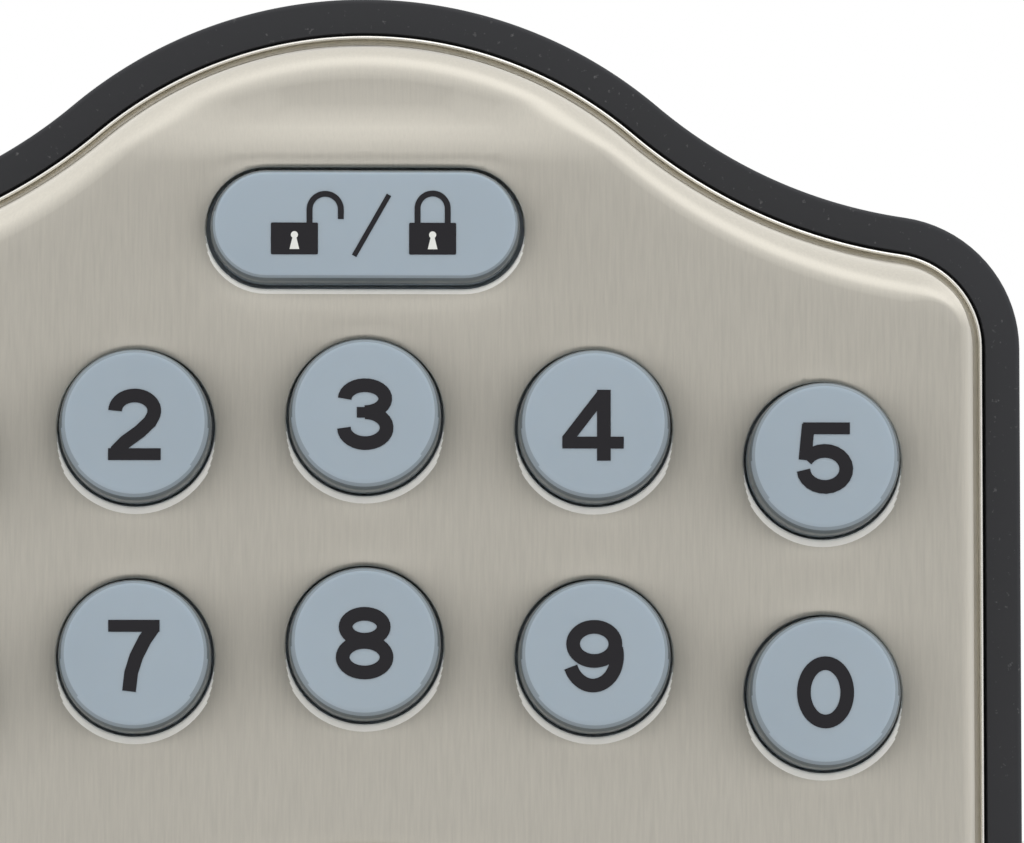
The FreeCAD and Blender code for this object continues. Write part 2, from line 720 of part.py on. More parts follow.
b = body("bolt_blank")
tip = backset + throw
sk = sketch(b, "YZ", tip - 41.0)
round_rect(sk, latch_y - 6.35, -8.75, latch_y + 6.35, 8.75, 2.0)
pad(b, sk, 41.0)
soften(b, 1.2, lambda e: abs(e.BoundBox.XMin - tip.value) < 1e-3 and e.BoundBox.XLength < 1e-3)
sk = sketch(b, "YZ", tip - 41.0)
rect(sk, latch_y + 0.7, -8.8, latch_y + 3.3, -5.8)
pocket(b, sk, 12.0)
sk = sketch(b, "YZ", tip - 22.0)
circle(sk, latch_y, 0, 3.1)
pocket(b, sk, 17.0)
bolt = less(b, [rod(3.1, tip - 41.0, tip - 21.0, (latch_y, 0), "X")])
node(bolt, "deadbolt")
node(rod(3.0, tip - 36.0, tip - 6.0, (latch_y, 0), "X"), "hardened_pin")

fork = [block(reach - 4.5, reach - 2.2, latch_y + 0.75, latch_y + 3.25, -19.0, -6.1),
        block(reach + 2.2, reach + 4.5, latch_y + 0.75, latch_y + 3.25, -19.0, -6.1),
        block(reach - 4.5, tip - 30.5, latch_y + 0.75, latch_y + 3.25, -10.2, -6.1)]
node(join(fork), "bolt_tail")

bolts = []
for side in (-1, 1):
    z = bolt_z * side
    head = less(rod(3.9, door + plate_t, door + plate_t + 2.3, (0, z)),
                [block(-2.6, 2.6, door + plate_t + 1.1, door + plate_t + 3, z - 0.45, z + 0.45),
                 block(-0.45, 0.45, door + plate_t + 1.1, door + plate_t + 3, z - 2.6, z + 2.6)])
    bolts.append(join([rod(bolt_r, -4.0, door + plate_t + 0.1, (0, z)), head]))
node(group(bolts), "through_bolts")

# ---------------------------------------------------------------- inside: plate, chassis, cover
base_y = door + plate_t
screw_at = [(-27.5, -19.2), (27.5, -19.2), (-29.0, 14.0), (29.0, 14.0)]
cable = (-13.5, 18.0)
b = body("inside_plate")
sk = sketch(b, "XZ", base_y)
arch(sk, -3.2, rise)
pad(b, sk, plate_t)
sk = sketch(b, "XZ", base_y)
for side in (-1, 1):
    circle(sk, 0, bolt_z * side, bolt_r + 0.4)
circle(sk, 0, 0, 8.0)
circle(sk, *cable, 3.4)
for x, z in screw_at:
    circle(sk, x, z, 1.3)
for x in (-24.0, 24.0):
    stadium(sk, x, 46.0, 12.0, 5.0)
stadium(sk, 0, 50.0, 24.0, 8.0)
pocket(b, sk, plate_t)
node(b, "inside_plate")

post_at = [(-26.5, -13.0), (26.5, -13.0)]
board_posts = [(-24.0, 26.0), (24.0, 26.0), (-24.0, 53.0), (24.0, 53.0)]
b = body("inside_chassis")
sk = sketch(b, "XZ", base_y + 2.1)
arch(sk, -3.2, rise)
pad(b, sk, 2.0)
sk = sketch(b, "XZ", base_y + 2.1)
circle(sk, 0, 0, 9.0)
pad(b, sk, 2.0)
sk = sketch(b, "XZ", base_y + 4.4)
for x, z in board_posts + [(0, 48.0)]:
    circle(sk, x, z, 2.4)
pad(b, sk, 2.4)
sk = sketch(b, "XZ", base_y + 9.75)                               # post for the position sensor
circle(sk, 18.5, 8.5, 1.4)
pad(b, sk, 8.0)
sk = sketch(b, "XZ", inner - 3.6)                                 # posts for the cover screws
for x, z in post_at:
    circle(sk, x, z, 3.2)
pad(b, sk, inner - 3.6 - base_y - 1.0)
sk = sketch(b, "XZ", 64.0)                                        # cradle for the gearmotor
rect(sk, -gear_c - 8.0, -gear_c - 7.0, -gear_c + 8.0, -gear_c + 7.0)
pad(b, sk, 64.0 - base_y - 1.0)
sk = sketch(b, "XZ", 64.0)
rect(sk, -gear_c - 6.1, -gear_c - 5.1, -gear_c + 6.1, -gear_c + 5.1)
pocket(b, sk, 64.0 - base_y - 7.9)
sk = sketch(b, "XZ", base_y + 7.4)                                # room for the gears
circle(sk, 0, 0, 16.4)
pocket(b, sk, 5.3)
sk = sketch(b, "XZ", base_y + 7.95)
circle(sk, -gear_c, -gear_c, 6.2)
pocket(b, sk, 5.85)
sk = sketch(b, "XZ", base_y + 2.1)
circle(sk, 0, 0, 6.0 + running)
for side in (-1, 1):
    circle(sk, 0, bolt_z * side, 5.0)
circle(sk, *cable, 2.6)
for x, z in screw_at:
    circle(sk, x, z, 1.65)
pocket(b, sk, 2.2)
sk = sketch(b, "XZ", inner - 3.6)
for x, z in post_at:
    circle(sk, x, z, 1.25)
pocket(b, sk, 14.0)
node(b, "inside_chassis")

node(group([less(join([rod(1.25, door + 0.1, base_y + 2.2, at), rod(2.7, base_y + 2.1, base_y + 3.7, at)]),
                 [rod(1.0, base_y + 2.9, base_y + 4, at)]) for at in screw_at]), "chassis_screws")

b = body("inside_shell")
sk = sketch(b, "XZ", inner)
arch(sk, -1.6, rise)
pad(b, sk, inner - door - 0.05, -1.6)
soften(b, 4.0, level(inner))
sk = sketch(b, "XZ", inner - 2.0)
arch(sk, -3.9, rise)
pocket(b, sk, inner - 2.0 - door - 0.05)
sk = sketch(b, "XZ", base_y + 2.3)                                # step the chassis sits in
arch(sk, -3.0, rise)
pocket(b, sk, base_y + 2.3 - door - 0.05)
sk = sketch(b, "XZ", inner)
circle(sk, 0, 0, 12.4)
pocket(b, sk, 3.0)
sk = sketch(b, "XZ", inner - 2.0)
for x, z in post_at:
    circle(sk, x, z, 4.4)
pad(b, sk, 1.5)
sk = sketch(b, "XZ", inner)
for x, z in post_at:
    circle(sk, x, z, 1.5)
pocket(b, sk, 4.0)
sk = sketch(b, "XZ", inner)
for x, z in post_at:
    circle(sk, x, z, 3.0)
pocket(b, sk, 2.6)
soften(b, 0.8, lambda e: level(inner)(e) and 24 < e.BoundBox.XLength < 26 and abs(e.BoundBox.Center.z) < 1)
split_y, split_z = inner - 7.0, 18.6
node(less(b, [block(-50, 50, split_y, 90, split_z, 120)]), "inside_cover")

lid = both(b, block(-50, 50, split_y + 0.2, 90, split_z + 0.25, 120))
ridges = [block(-9.0, 9.0, inner - 0.2, inner + 0.7, 23.0 + 2.4 * i, 24.1 + 2.4 * i) for i in range(4)]
node(join([lid] + ridges), "battery_cover")

node(group([less(join([rod(1.2, inner - 12.0, inner - 2.4, at), rod(2.8, inner - 2.5, inner - 1.0, at)]),
                 [block(at[0] - 1.9, at[0] + 1.9, inner - 1.6, inner, at[1] - 0.3, at[1] + 0.3),
                  block(at[0] - 0.3, at[0] + 0.3, inner - 1.6, inner, at[1] - 1.9, at[1] + 1.9)])
            for at in post_at]), "inside_cover_screws")

# ---------------------------------------------------------------- inside: cells, board, drive
tray_y = cell_y - cell_r - 1.9
tray_w = cell_pitch * 1.5 + 0.4
low_z, high_z = cell_z - 1.9, cell_z + cell_h + 3.4
tray = [block(-tray_w, tray_w, tray_y, tray_y + 1.6, low_z, high_z),
        block(-tray_w, tray_w, tray_y, cell_y + 4.0, low_z, low_z + 1.0),
        block(-tray_w, tray_w, tray_y, cell_y + 4.0, high_z - 1.0, high_z)]
for x in (cell_pitch * -0.5, cell_pitch * 0.5):
    tray.append(block(x - 0.3, x + 0.3, tray_y, tray_y + 4.2, low_z, high_z))
tray += [rod(2.0, base_y + 5.8, tray_y + 0.1, at) for at in board_posts]
node(join(tray), "battery_tray")

cells, springs = [], []
for i, column in enumerate((-1, 0, 1)):
    x = cell_pitch * column
    up = i % 2 == 0
    low = cell_z if up else cell_z + 1.2
    cells.append(join([rod(cell_r, low, low + cell_h, (x, cell_y), "Z"),
                       rod(2.7, low + cell_h, low + cell_h + 1.2, (x, cell_y), "Z") if up
                       else rod(2.7, low - 1.2, low, (x, cell_y), "Z")]))
    top = cell_z + cell_h + 2.4
    plate_z = [(cell_z - 0.9, cell_z - 0.55), (top - 0.35, top)]
    springs += [block(x - 5.0, x + 5.0, cell_y - 5.0, cell_y + 3.5, a, c) for a, c in plate_z]
node(group(cells), "battery_cells")
node(group(springs), "battery_contacts")

b = body("control_board")
sk = sketch(b, "XZ", base_y + 6.0)
round_rect(sk, -29.0, 19.0, 29.0, 58.0, 2.0)
pad(b, sk, 1.5)
sk = sketch(b, "XZ", base_y + 6.0)
for x, z in board_posts:
    circle(sk, x, z, 2.2)
pocket(b, sk, 1.5)
node(b, "control_board")

chip_y = base_y + 6.0
chips = [(-8.0, 8.0, 43.0, 54.0, 2.6), (-22.0, -15.0, 34.0, 41.0, 1.1), (9.0, 14.0, 35.0, 40.0, 1.4),
         (-6.0, -1.0, 34.0, 38.0, 1.4), (12.0, 18.0, 46.0, 51.0, 1.6), (-18.0, -14.0, 46.0, 52.0, 1.2),
         (9.0, 12.0, 26.5, 28.5, 1.0), (-18.0, -15.5, 28.0, 29.5, 0.9), (4.0, 8.0, 28.0, 31.0, 1.2)]
node(group([block(x0, x1, chip_y, chip_y + t, z0, z1) for x0, x1, z0, z1, t in chips]), "control_chips")
sounder_at = (20.5, 34.0)
node(less(rod(5.5, chip_y, chip_y + 3.0, sounder_at), [rod(1.0, chip_y + 1.5, chip_y + 3.2, sounder_at)]),
     "sounder")
node(block(-16.0, -8.0, base_y + 2.3, chip_y - 1.5, 20.5, 25.0), "control_socket")


def gear(teeth, tooth_module, width, at, y, turn=0.0):
    """Involute spur gear standing on the Y axis, cut with the workbench's own generator."""
    wires = fcgear.FCWireBuilder()
    involute.CreateExternalGear(wires, tooth_module.value, teeth, 20.0, True, 0.95, 1.2, 0.3)
    blank = Part.Face(Part.Wire([o.toShape() for o in wires.wire])).extrude(Vector(0, 0, size(width).value))
    f = fixed_shape(blank, 0, "gear")
    f.Placement = Placement(Vector(), AXES["Y"] * Rotation(Vector(0, 0, 1), turn))
    bind(f, "Placement.Base.x", at[0])
    bind(f, "Placement.Base.z", at[1])
    bind(f, "Placement.Base.y", y)
    return f


gear_y = base_y + 2.9
wheel = join([gear(36, module, 3.8, (0, 0), gear_y), rod(6.0, base_y + 0.2, gear_y + 8.0, (0, 0))])
node(less(wheel, [block(-3.3, 3.3, base_y, gear_y + 9, -0.9, 0.9),
                  rod(1.55, gear_y + 1.8, gear_y + 4.0, (11.0, 0))]), "spindle_gear")
node(rod(1.5, gear_y + 2.0, gear_y + 3.8, (11.0, 0)), "position_magnet")
shaft = less(rod(1.5, gear_y - 0.1, gear_y + 6.0, (-gear_c, -gear_c)),
             [block(-gear_c - 2, -gear_c + 2, gear_y - 1, gear_y + 4.2, -gear_c + 1.0, -gear_c + 3)])
pinion = less(gear(12, module, 4.2, (-gear_c, -gear_c), gear_y - 0.2, 15.0),
              [rod(1.5, gear_y - 1, gear_y + 5, (-gear_c, -gear_c))])
node(join([pinion, shaft]), "motor_pinion")

motor_y = gear_y + 5.0
mx0, mx1, mz0, mz1 = -gear_c - 6.0, -gear_c + 6.0, -gear_c - 5.0, -gear_c + 5.0
can = both(rod(6.0, motor_y + 9.0, motor_y + 21.5, (-gear_c, -gear_c)),
           block(mx0, mx1, motor_y + 8.9, motor_y + 21.6, mz0, mz1))
box = [block(mx0, mx1, motor_y + a, motor_y + c, mz0, mz1) for a, c in ((0, 1.0), (7.9, 9.05))]
core = rod(4.4, motor_y + 0.9, motor_y + 8.0, (-gear_c, -gear_c))
posts = [rod(0.9, motor_y + 0.9, motor_y + 8.0, (-gear_c + sx * 4.8, -gear_c + sz * 3.9))
         for sx in (-1, 1) for sz in (-1, 1)]
node(less(join([can, core, rod(2.0, motor_y + 21.4, motor_y + 21.9, (-gear_c, -gear_c))] + box + posts),
          [rod(1.55, motor_y - 0.1, motor_y + 1.4, (-gear_c, -gear_c))]), "gearmotor")
node(join([block(8.0, 20.0, base_y + 9.8, base_y + 11.0, -4.0, 12.0),
           block(9.5, 12.5, base_y + 9.0, base_y + 9.9, -2, 2)]), "position_sensor")

turn = body("thumb_turn")
sk = sketch(turn, "XY")
polygon(sk, [(0, inner + 0.4), (0, inner + 4.6), (14.0, inner + 4.6), (16.4, inner + 3.4),
             (17.0, inner + 0.4)])
spin(turn, sk)
sk = sketch(turn, "XZ", inner + 18.0)
stadium(sk, 0, 0, 42.0, 8.0)
pad(turn, sk, 14.5, -2.4)
soften(turn, 2.0, level(inner + 18.0))
sk = sketch(turn, "XZ", inner + 0.5)
circle(sk, 0, 0, 7.4)
pad(turn, sk, inner + 0.5 - gear_y - 8.2)
sk = sketch(turn, "XZ", gear_y + 8.2)
rect(sk, -3.3, -0.9, 3.3, 0.9)
pocket(turn, sk, 4.6, back=True)
sk = sketch(turn, "XZ", inner - 3.4)
circle(sk, 0, 0, 9.0)
circle(sk, 0, 0, 6.6)
pocket(turn, sk, 1.1)
node(turn, "thumb_turn")
node(less(rod(13.6, inner - 4.4, inner - 3.5, (0, 0)), [rod(6.65, inner - 5, inner - 3, (0, 0))]),
     "turn_clip")

# ---------------------------------------------------------------- cable between the two boards
cx, cz, deep = cable[0], cable[1], door.value
stops = [(-16.0, -7.1, 29.9), (-16.1, -7.1, 26.0), (-15.2, -6.4, 21.5), (cx, -2.5, cz), (cx, 8.0, cz),
         (cx, deep - 6.0, cz), (cx, deep + 1.5, cz), (-13.0, deep + 4.4, 18.5), (-12.4, deep + 5.1, 20.1)]
path_points = [Vector(*p) for p in stops]
spline = Part.BSplineCurve()
spline.interpolate(path_points)
ring = Part.Wire(Part.Circle(path_points[0], spline.tangent(spline.FirstParameter)[0], 1.1).toShape())
node(fixed_shape(Part.Wire(spline.toShape()).makePipeShell([ring], True, True), 0, "cable"), "cable")

# ---------------------------------------------------------------- check and export
doc.recompute()
bad = [o.Name for o in doc.Objects if {"Invalid", "Error", "Touched"} & set(o.State)]
if bad:
    raise RuntimeError(f"features in error: {bad}")
for obj in nodes:
    shape = obj.Shape
    if shape.isNull() or not shape.isValid() or not shape.Solids:
        raise RuntimeError(f"{obj.Label}: no valid solid")
    shape.exportStep(f"parts/{obj.Label}.step")
    box = shape.BoundBox
    print(f"{obj.Label:20s} {len(shape.Solids):3d} {shape.Volume:10.1f}  x {box.XMin:7.2f} {box.XMax:7.2f}"
          f"  y {box.YMin:7.2f} {box.YMax:7.2f}  z {box.ZMin:7.2f} {box.ZMax:7.2f}")
doc.saveAs("keypad_lock.FCStd")
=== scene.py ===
import json
import math

import bmesh
import bpy
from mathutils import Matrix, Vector
from mathutils.geometry import delaunay_2d_cdt


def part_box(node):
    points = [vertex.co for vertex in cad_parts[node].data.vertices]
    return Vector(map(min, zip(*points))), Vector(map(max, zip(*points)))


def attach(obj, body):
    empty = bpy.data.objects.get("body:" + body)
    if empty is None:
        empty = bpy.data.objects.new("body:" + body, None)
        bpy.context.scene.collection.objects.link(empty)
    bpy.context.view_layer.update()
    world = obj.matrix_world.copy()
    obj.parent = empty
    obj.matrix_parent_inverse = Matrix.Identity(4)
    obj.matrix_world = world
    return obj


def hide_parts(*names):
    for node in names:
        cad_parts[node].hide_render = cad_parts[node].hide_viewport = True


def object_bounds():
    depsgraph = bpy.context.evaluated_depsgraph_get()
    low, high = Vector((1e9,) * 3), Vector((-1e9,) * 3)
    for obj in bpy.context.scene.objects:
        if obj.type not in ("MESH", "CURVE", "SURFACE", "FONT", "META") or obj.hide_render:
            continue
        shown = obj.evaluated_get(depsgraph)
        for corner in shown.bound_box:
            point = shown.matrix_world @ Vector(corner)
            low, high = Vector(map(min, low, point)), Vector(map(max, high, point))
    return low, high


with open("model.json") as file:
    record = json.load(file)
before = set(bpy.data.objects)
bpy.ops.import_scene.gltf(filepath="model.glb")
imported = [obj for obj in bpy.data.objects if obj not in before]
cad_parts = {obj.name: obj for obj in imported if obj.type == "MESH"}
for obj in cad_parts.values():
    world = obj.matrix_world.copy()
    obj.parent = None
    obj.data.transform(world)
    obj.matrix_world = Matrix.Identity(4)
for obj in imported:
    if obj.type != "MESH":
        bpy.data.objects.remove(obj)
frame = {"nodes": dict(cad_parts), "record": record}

CAD_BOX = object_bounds()
MM = 0.001

# Sizes are millimetres in the CAD's frame: X to the right, Z up, and depth along Y with the front at -Y.
# The lock's outline has a crown, two hollows and square shoulders at each end, all tangent.
HALF_W, CROWN_R, HOLLOW_R, CORNER_R = 35.76, 24.08, 30.40, 5.66
CROWN_Z, CORNER_Z, MIDDLE_Z = 48.51, 54.38, 16.6
GASKET_BORDER, GASKET_DEPTH, SEAT = 2.04, 2.98, 0.2
RIM_BACK, RIM_FRONT, FRONT, WALL = -3.0, -3.8, -17.0, 1.7
OPENING_R = 25.4
KEY_R, KEY_HOLE_R = 4.24, 4.4
OVAL_W, OVAL_T, OVAL_GAP, OVAL_PROUD = 17.3, 6.3, 0.25, 1.2
DIGITS = "1234567890"


# ------------------------------------------------------------------ where the CAD puts things
def centre(node):
    """Middle of a node's box across and up."""
    low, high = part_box(node)
    return (low[0] + high[0]) / 2 / MM, (low[2] + high[2]) / 2 / MM


KEY_AT = {digit: centre("key_" + digit) for digit in DIGITS}
OVAL_AT = centre("key_lock")
CAP_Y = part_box("key_5")[0][1] / MM
OVAL_Y = FRONT - OVAL_PROUD


# ------------------------------------------------------------------ mesh helpers
def piece(name, verts, faces, body, slot, node=None, smooth=35):
    """A closed mesh from millimetre points, riding on a CAD body."""
    mesh = bpy.data.meshes.new(name)
    mesh.from_pydata([Vector(v) * MM for v in verts], [], faces)
    bm = bmesh.new()
    bm.from_mesh(mesh)
    bmesh.ops.remove_doubles(bm, verts=bm.verts, dist=2e-7)
    bmesh.ops.recalc_face_normals(bm, faces=bm.faces)
    bm.to_mesh(mesh)
    bm.free()
    mesh.shade_smooth()
    mesh.set_sharp_from_angle(angle=math.radians(smooth))
    obj = bpy.data.objects.new(name, mesh)
    bpy.context.scene.collection.objects.link(obj)
    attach(obj, body)
    if node:
        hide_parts(node)
    return obj


def bend(cx, cz, rx, rz, a, b, steps=22):
    """Points on an ellipse from angle a to angle b in degrees, both ends included."""
    return [(cx + rx * math.cos(math.radians(a + (b - a) * i / steps)),
             cz + rz * math.sin(math.radians(a + (b - a) * i / steps))) for i in range(steps + 1)]


def stadium(cx, cz, w, t, steps=26, straight=14):
    """Closed loop of a slot shape w wide and t high."""
    r, c = t / 2, (w - t) / 2
    right = bend(cx + c, cz, r, r, -90, 90, steps)
    left = bend(cx - c, cz, r, r, 90, 270, steps)
    top = [(cx + c - 2 * c * i / straight, cz + r) for i in range(1, straight)]
    low = [(cx - c + 2 * c * i / straight, cz - r) for i in range(1, straight)]
    return right + top + left + low


def rounded(x0, z0, x1, z1, r, steps=5):
    """Rectangle with rounded corners."""
    return (bend(x1 - r, z1 - r, r, r, 0, 90, steps) + bend(x0 + r, z1 - r, r, r, 90, 180, steps)
            + bend(x0 + r, z0 + r, r, r, 180, 270, steps) + bend(x1 - r, z0 + r, r, r, 270, 360, steps))


def heading(p, q):
    """Direction from p to q in degrees."""
    return math.degrees(math.atan2(q[1] - p[1], q[0] - p[0])) % 360


def hollow_centre():
    """Centre of the hollow that touches the crown and the shoulder."""
    dx, dz = HALF_W - CORNER_R, CORNER_Z - CROWN_Z
    to_crown, to_corner, apart = CROWN_R + HOLLOW_R, HOLLOW_R + CORNER_R, math.hypot(dx, dz)
    along = (to_crown ** 2 - to_corner ** 2 + apart ** 2) / (2 * apart)
    off = math.sqrt(to_crown ** 2 - along ** 2)
    return (dx * along - dz * off) / apart, CROWN_Z + (dz * along + dx * off) / apart


def outline(grow=0.0, side_steps=40):
    """The lock's outline moved out by grow, with the same number of points whatever grow is."""
    shoulder, crown, hollow = (HALF_W - CORNER_R, CORNER_Z), (0, CROWN_Z), hollow_centre()
    corner_r, hollow_r, crown_r = CORNER_R + grow, HOLLOW_R - grow, CROWN_R + grow
    top = bend(*shoulder, corner_r, corner_r, 0, heading(shoulder, hollow), 18)[:-1]
    top += bend(*hollow, hollow_r, hollow_r, heading(hollow, shoulder), heading(hollow, crown), 30)[:-1]
    top += bend(*crown, crown_r, crown_r, heading(crown, hollow), 90, 44)[:-1]
    top += [(0, CROWN_Z + crown_r)] + [(-x, z) for x, z in reversed(top)]
    bottom = [(x, 2 * MIDDLE_Z - z) for x, z in reversed(top)]
    side_x, low_z = HALF_W + grow, 2 * MIDDLE_Z - CORNER_Z
    left = [(-side_x, CORNER_Z + (low_z - CORNER_Z) * i / side_steps) for i in range(1, side_steps)]
    right = [(side_x, low_z + (CORNER_Z - low_z) * i / side_steps) for i in range(1, side_steps)]
    return top + left + bottom + right


def outline_normals(grow=0.0):
    """The outline moved out by grow, and the outward normal at each of its points."""
    base, moved = outline(grow), outline(grow + 1.0)
    return base, [(b[0] - a[0], b[1] - a[1]) for a, b in zip(base, moved)]


def loop_faces(a, b, n):
    """Quads between two closed loops of n points that start at vertex a and b."""
    return [(a + i, a + (i + 1) % n, b + (i + 1) % n, b + i) for i in range(n)]


def sweep(loops, close=True):
    """Skin through loops of equal length; close joins the last to the first."""
    n = len(loops[0])
    verts = [p for loop in loops for p in loop]
    faces = []
    for i in range(len(loops) - (0 if close else 1)):
        faces += loop_faces(i * n, ((i + 1) % len(loops)) * n, n)
    return verts, faces


def add_skin(verts, faces, loops):
    """Adds an open skin through loops to a mesh in the making."""
    start = len(verts)
    more, skin = sweep(loops, close=False)
    verts += more
    faces += [tuple(i + start for i in face) for face in skin]


def lathe(profile, segments, cx=0.0, cz=0.0):
    """Closed solid of revolution about a line along Y, from (radius, y) points."""
    on_axis = profile[0][0] == 0
    angles = [2 * math.pi * i / segments for i in range(segments)]
    loops = [[(cx + r * math.cos(a), y, cz + r * math.sin(a)) for a in angles] for r, y in profile if r > 0]
    verts, faces = sweep(loops, close=not on_axis)
    if on_axis:
        for row, y in ((0, profile[0][1]), (len(loops) - 1, profile[-1][1])):
            verts.append((cx, y, cz))
            faces += [(row * segments + i, row * segments + (i + 1) % segments, len(verts) - 1)
                      for i in range(segments)]
    return verts, faces


def triangulate(loops, extra=()):
    """Points, triangles and each point's sources, from closed loops of (x, z) points and extra points."""
    points, edges = [], []
    for loop in loops:
        start, n = len(points), len(loop)
        points += [Vector(p) for p in loop]
        edges += [(start + i, start + (i + 1) % n) for i in range(n)]
    points += [Vector(p) for p in extra]
    out = delaunay_2d_cdt(points, edges, [], 0, 1e-6, True)
    return out[0], out[2], out[3]


def middle(points, triangle):
    """Middle of a triangle."""
    return sum(points[i].x for i in triangle) / 3, sum(points[i].y for i in triangle) / 3


def within(x, z, polygon):
    """True inside a polygon, by counting the sides that a line towards +X crosses."""
    odd = False
    for (ax, az), (bx, bz) in zip(polygon, polygon[1:] + polygon[:1]):
        if (az > z) != (bz > z) and x < (bx - ax) * (z - az) / (bz - az) + ax:
            odd = not odd
    return odd


# ------------------------------------------------------------------ flat glyphs
def stroke(points, width, closed=False):
    """Quads along a pen line, with mitred joints and square ends."""
    pts = []
    for p in points:
        if not pts or (Vector(p) - pts[-1]).length > 1e-4:
            pts.append(Vector(p))
    n = len(pts)
    sides = []
    for i, p in enumerate(pts):
        before = pts[i - 1] if closed or i else None
        after = pts[(i + 1) % n] if closed or i < n - 1 else None
        d0 = (p - before).normalized() if before is not None else None
        d1 = (after - p).normalized() if after is not None else None
        d0, d1 = d0 or d1, d1 or d0
        t = (d0 + d1).normalized()
        normal = Vector((-t.y, t.x))
        reach = width / 2 / max(0.35, normal.dot(Vector((-d0.y, d0.x))))
        sides.append((p + normal * reach, p - normal * reach))
    quads = []
    for i in range(n if closed else n - 1):
        (a, b), (c, d) = sides[i], sides[(i + 1) % n]
        quads.append([a, b, d, c])
    return quads


def polygon_area(poly):
    return sum(p[0] * q[1] - q[0] * p[1] for p, q in zip(poly, poly[1:] + poly[:1])) / 2


def flat_union(keep, drop=()):
    """Triangles covered by any polygon of keep and by none of drop."""
    verts, polys = [], []
    for poly in list(keep) + list(drop):
        poly = [tuple(p) for p in poly]
        if polygon_area(poly) < 0:
            poly.reverse()
        polys.append(list(range(len(verts), len(verts) + len(poly))))
        verts += [Vector(p) for p in poly]
    out = delaunay_2d_cdt(verts, [], polys, 0, 1e-5, True)
    points, triangles, sources = out[0], out[2], out[5]
    limit = len(keep)
    return points, [t for t, s in zip(triangles, sources) if s and max(s) < limit]


def plate_solid(points, triangles, y, thick):
    """Thin solid: the triangles as its front at depth y, and its back thick behind."""
    used = sorted({i for t in triangles for i in t})
    at = {v: i for i, v in enumerate(used)}
    n = len(used)
    verts = [(points[i][0], depth, points[i][1]) for depth in (y, y + thick) for i in used]
    faces, edges = [], {}
    for t in triangles:
        t = [at[i] for i in t]
        faces += [tuple(t), tuple(i + n for i in reversed(t))]
        for a, b in zip(t, t[1:] + t[:1]):
            edges[(a, b)] = edges.get((a, b), 0) + 1
    faces += [(b, a, a + n, b + n) for a, b in edges if (b, a) not in edges]
    return verts, faces


# Width of the digits' main strokes and of their level bars.
PEN, BAR = 0.77, 0.67


def glyph(digit):
    """Pen lines of one bold digit, 4 high and centred."""
    if digit == "1":
        flag = [(0.40, 1.42), (-0.15, 1.20), (-1.05, 1.05)]
        return stroke([(0.35, 2.0), (0.35, -2.0)], PEN) + stroke(flag, 0.52)
    if digit == "2":
        neck = [(0.86, 0.16), (0.30, -0.38), (-0.52, -0.98), (-0.98, -1.45), (-1.12, -1.80)]
        return (stroke(bend(0, 0.78, 1.10, 0.86, 180, -22) + neck, PEN)
                + stroke([(-1.49, -1.67), (1.47, -1.67)], BAR))
    if digit == "3":
        return (stroke(bend(0, 0.87, 1.14, 0.76, 180, -90), PEN) + stroke([(-0.46, 0.10), (0.40, 0.10)], 0.60)
                + stroke(bend(0.02, -0.77, 1.20, 0.87, 90, -180), PEN))
    if digit == "4":
        return (stroke([(0.50, 2.0), (0.50, -2.0)], PEN) + stroke([(-1.84, -0.98), (1.62, -0.98)], BAR)
                + stroke([(0.46, 1.80), (-1.58, -0.84)], 0.66))
    if digit == "5":
        return (stroke([(-1.22, 1.67), (1.42, 1.67)], BAR) + stroke([(-0.92, 1.90), (-1.12, -0.12)], 0.72)
                + stroke(bend(0, -0.62, 1.21, 1.02, 150, -176), PEN))
    if digit in "69":
        flip = 1 if digit == "6" else -1
        bowl = [(x * flip, z * flip) for x, z in bend(0.05, -0.68, 1.19, 0.96, 0, 360, 40)[:-1]]
        back = [(x * flip, z * flip) for x, z in bend(0.12, 0.0, 1.35, 1.66, 196, 22, 26)]
        return stroke(bowl, PEN, True) + stroke(back, PEN)
    if digit == "7":
        leg = [(1.10, 1.60), (0.62, 0.90), (0.14, -0.05), (-0.14, -0.95), (-0.26, -2.0)]
        return stroke([(-1.44, 1.67), (1.44, 1.67)], BAR) + stroke(leg, PEN)
    if digit == "8":
        return (stroke(bend(0, 0.92, 1.07, 0.73, 0, 360, 36)[:-1], PEN, True)
                + stroke(bend(0, -0.79, 1.23, 0.86, 0, 360, 40)[:-1], PEN, True))
    return stroke(bend(0, 0, 1.22, 1.64, 0, 360, 48)[:-1], PEN, True)


# ------------------------------------------------------------------ materials
def shader(name):
    mat = bpy.data.materials.new(name)
    mat.use_nodes = True
    tree = mat.node_tree
    coords = tree.nodes.new("ShaderNodeTexCoord").outputs["Object"]
    return mat, tree, tree.nodes["Principled BSDF"], coords


def noise(tree, coords, scale, detail=3.0, rough=0.55):
    """Noise in object space; scale is one number or three, in features a metre."""
    mapping = tree.nodes.new("ShaderNodeMapping")
    mapping.inputs["Scale"].default_value = scale if isinstance(scale, tuple) else (scale,) * 3
    tree.links.new(coords, mapping.inputs["Vector"])
    node = tree.nodes.new("ShaderNodeTexNoise")
    node.inputs["Scale"].default_value = 1.0
    node.inputs["Detail"].default_value = detail
    node.inputs["Roughness"].default_value = rough
    tree.links.new(mapping.outputs["Vector"], node.inputs["Vector"])
    return node.outputs["Fac"]


def ramp(tree, value, low, high, at=(0.3, 0.7)):
    """Colour or grey ramp over a noise."""
    node = tree.nodes.new("ShaderNodeValToRGB")
    for element, place, colour in zip(node.color_ramp.elements, at, (low, high)):
        element.position = place
        element.color = (*colour, 1.0) if isinstance(colour, tuple) else (colour,) * 3 + (1.0,)
    tree.links.new(value, node.inputs["Fac"])
    return node.outputs["Color"]


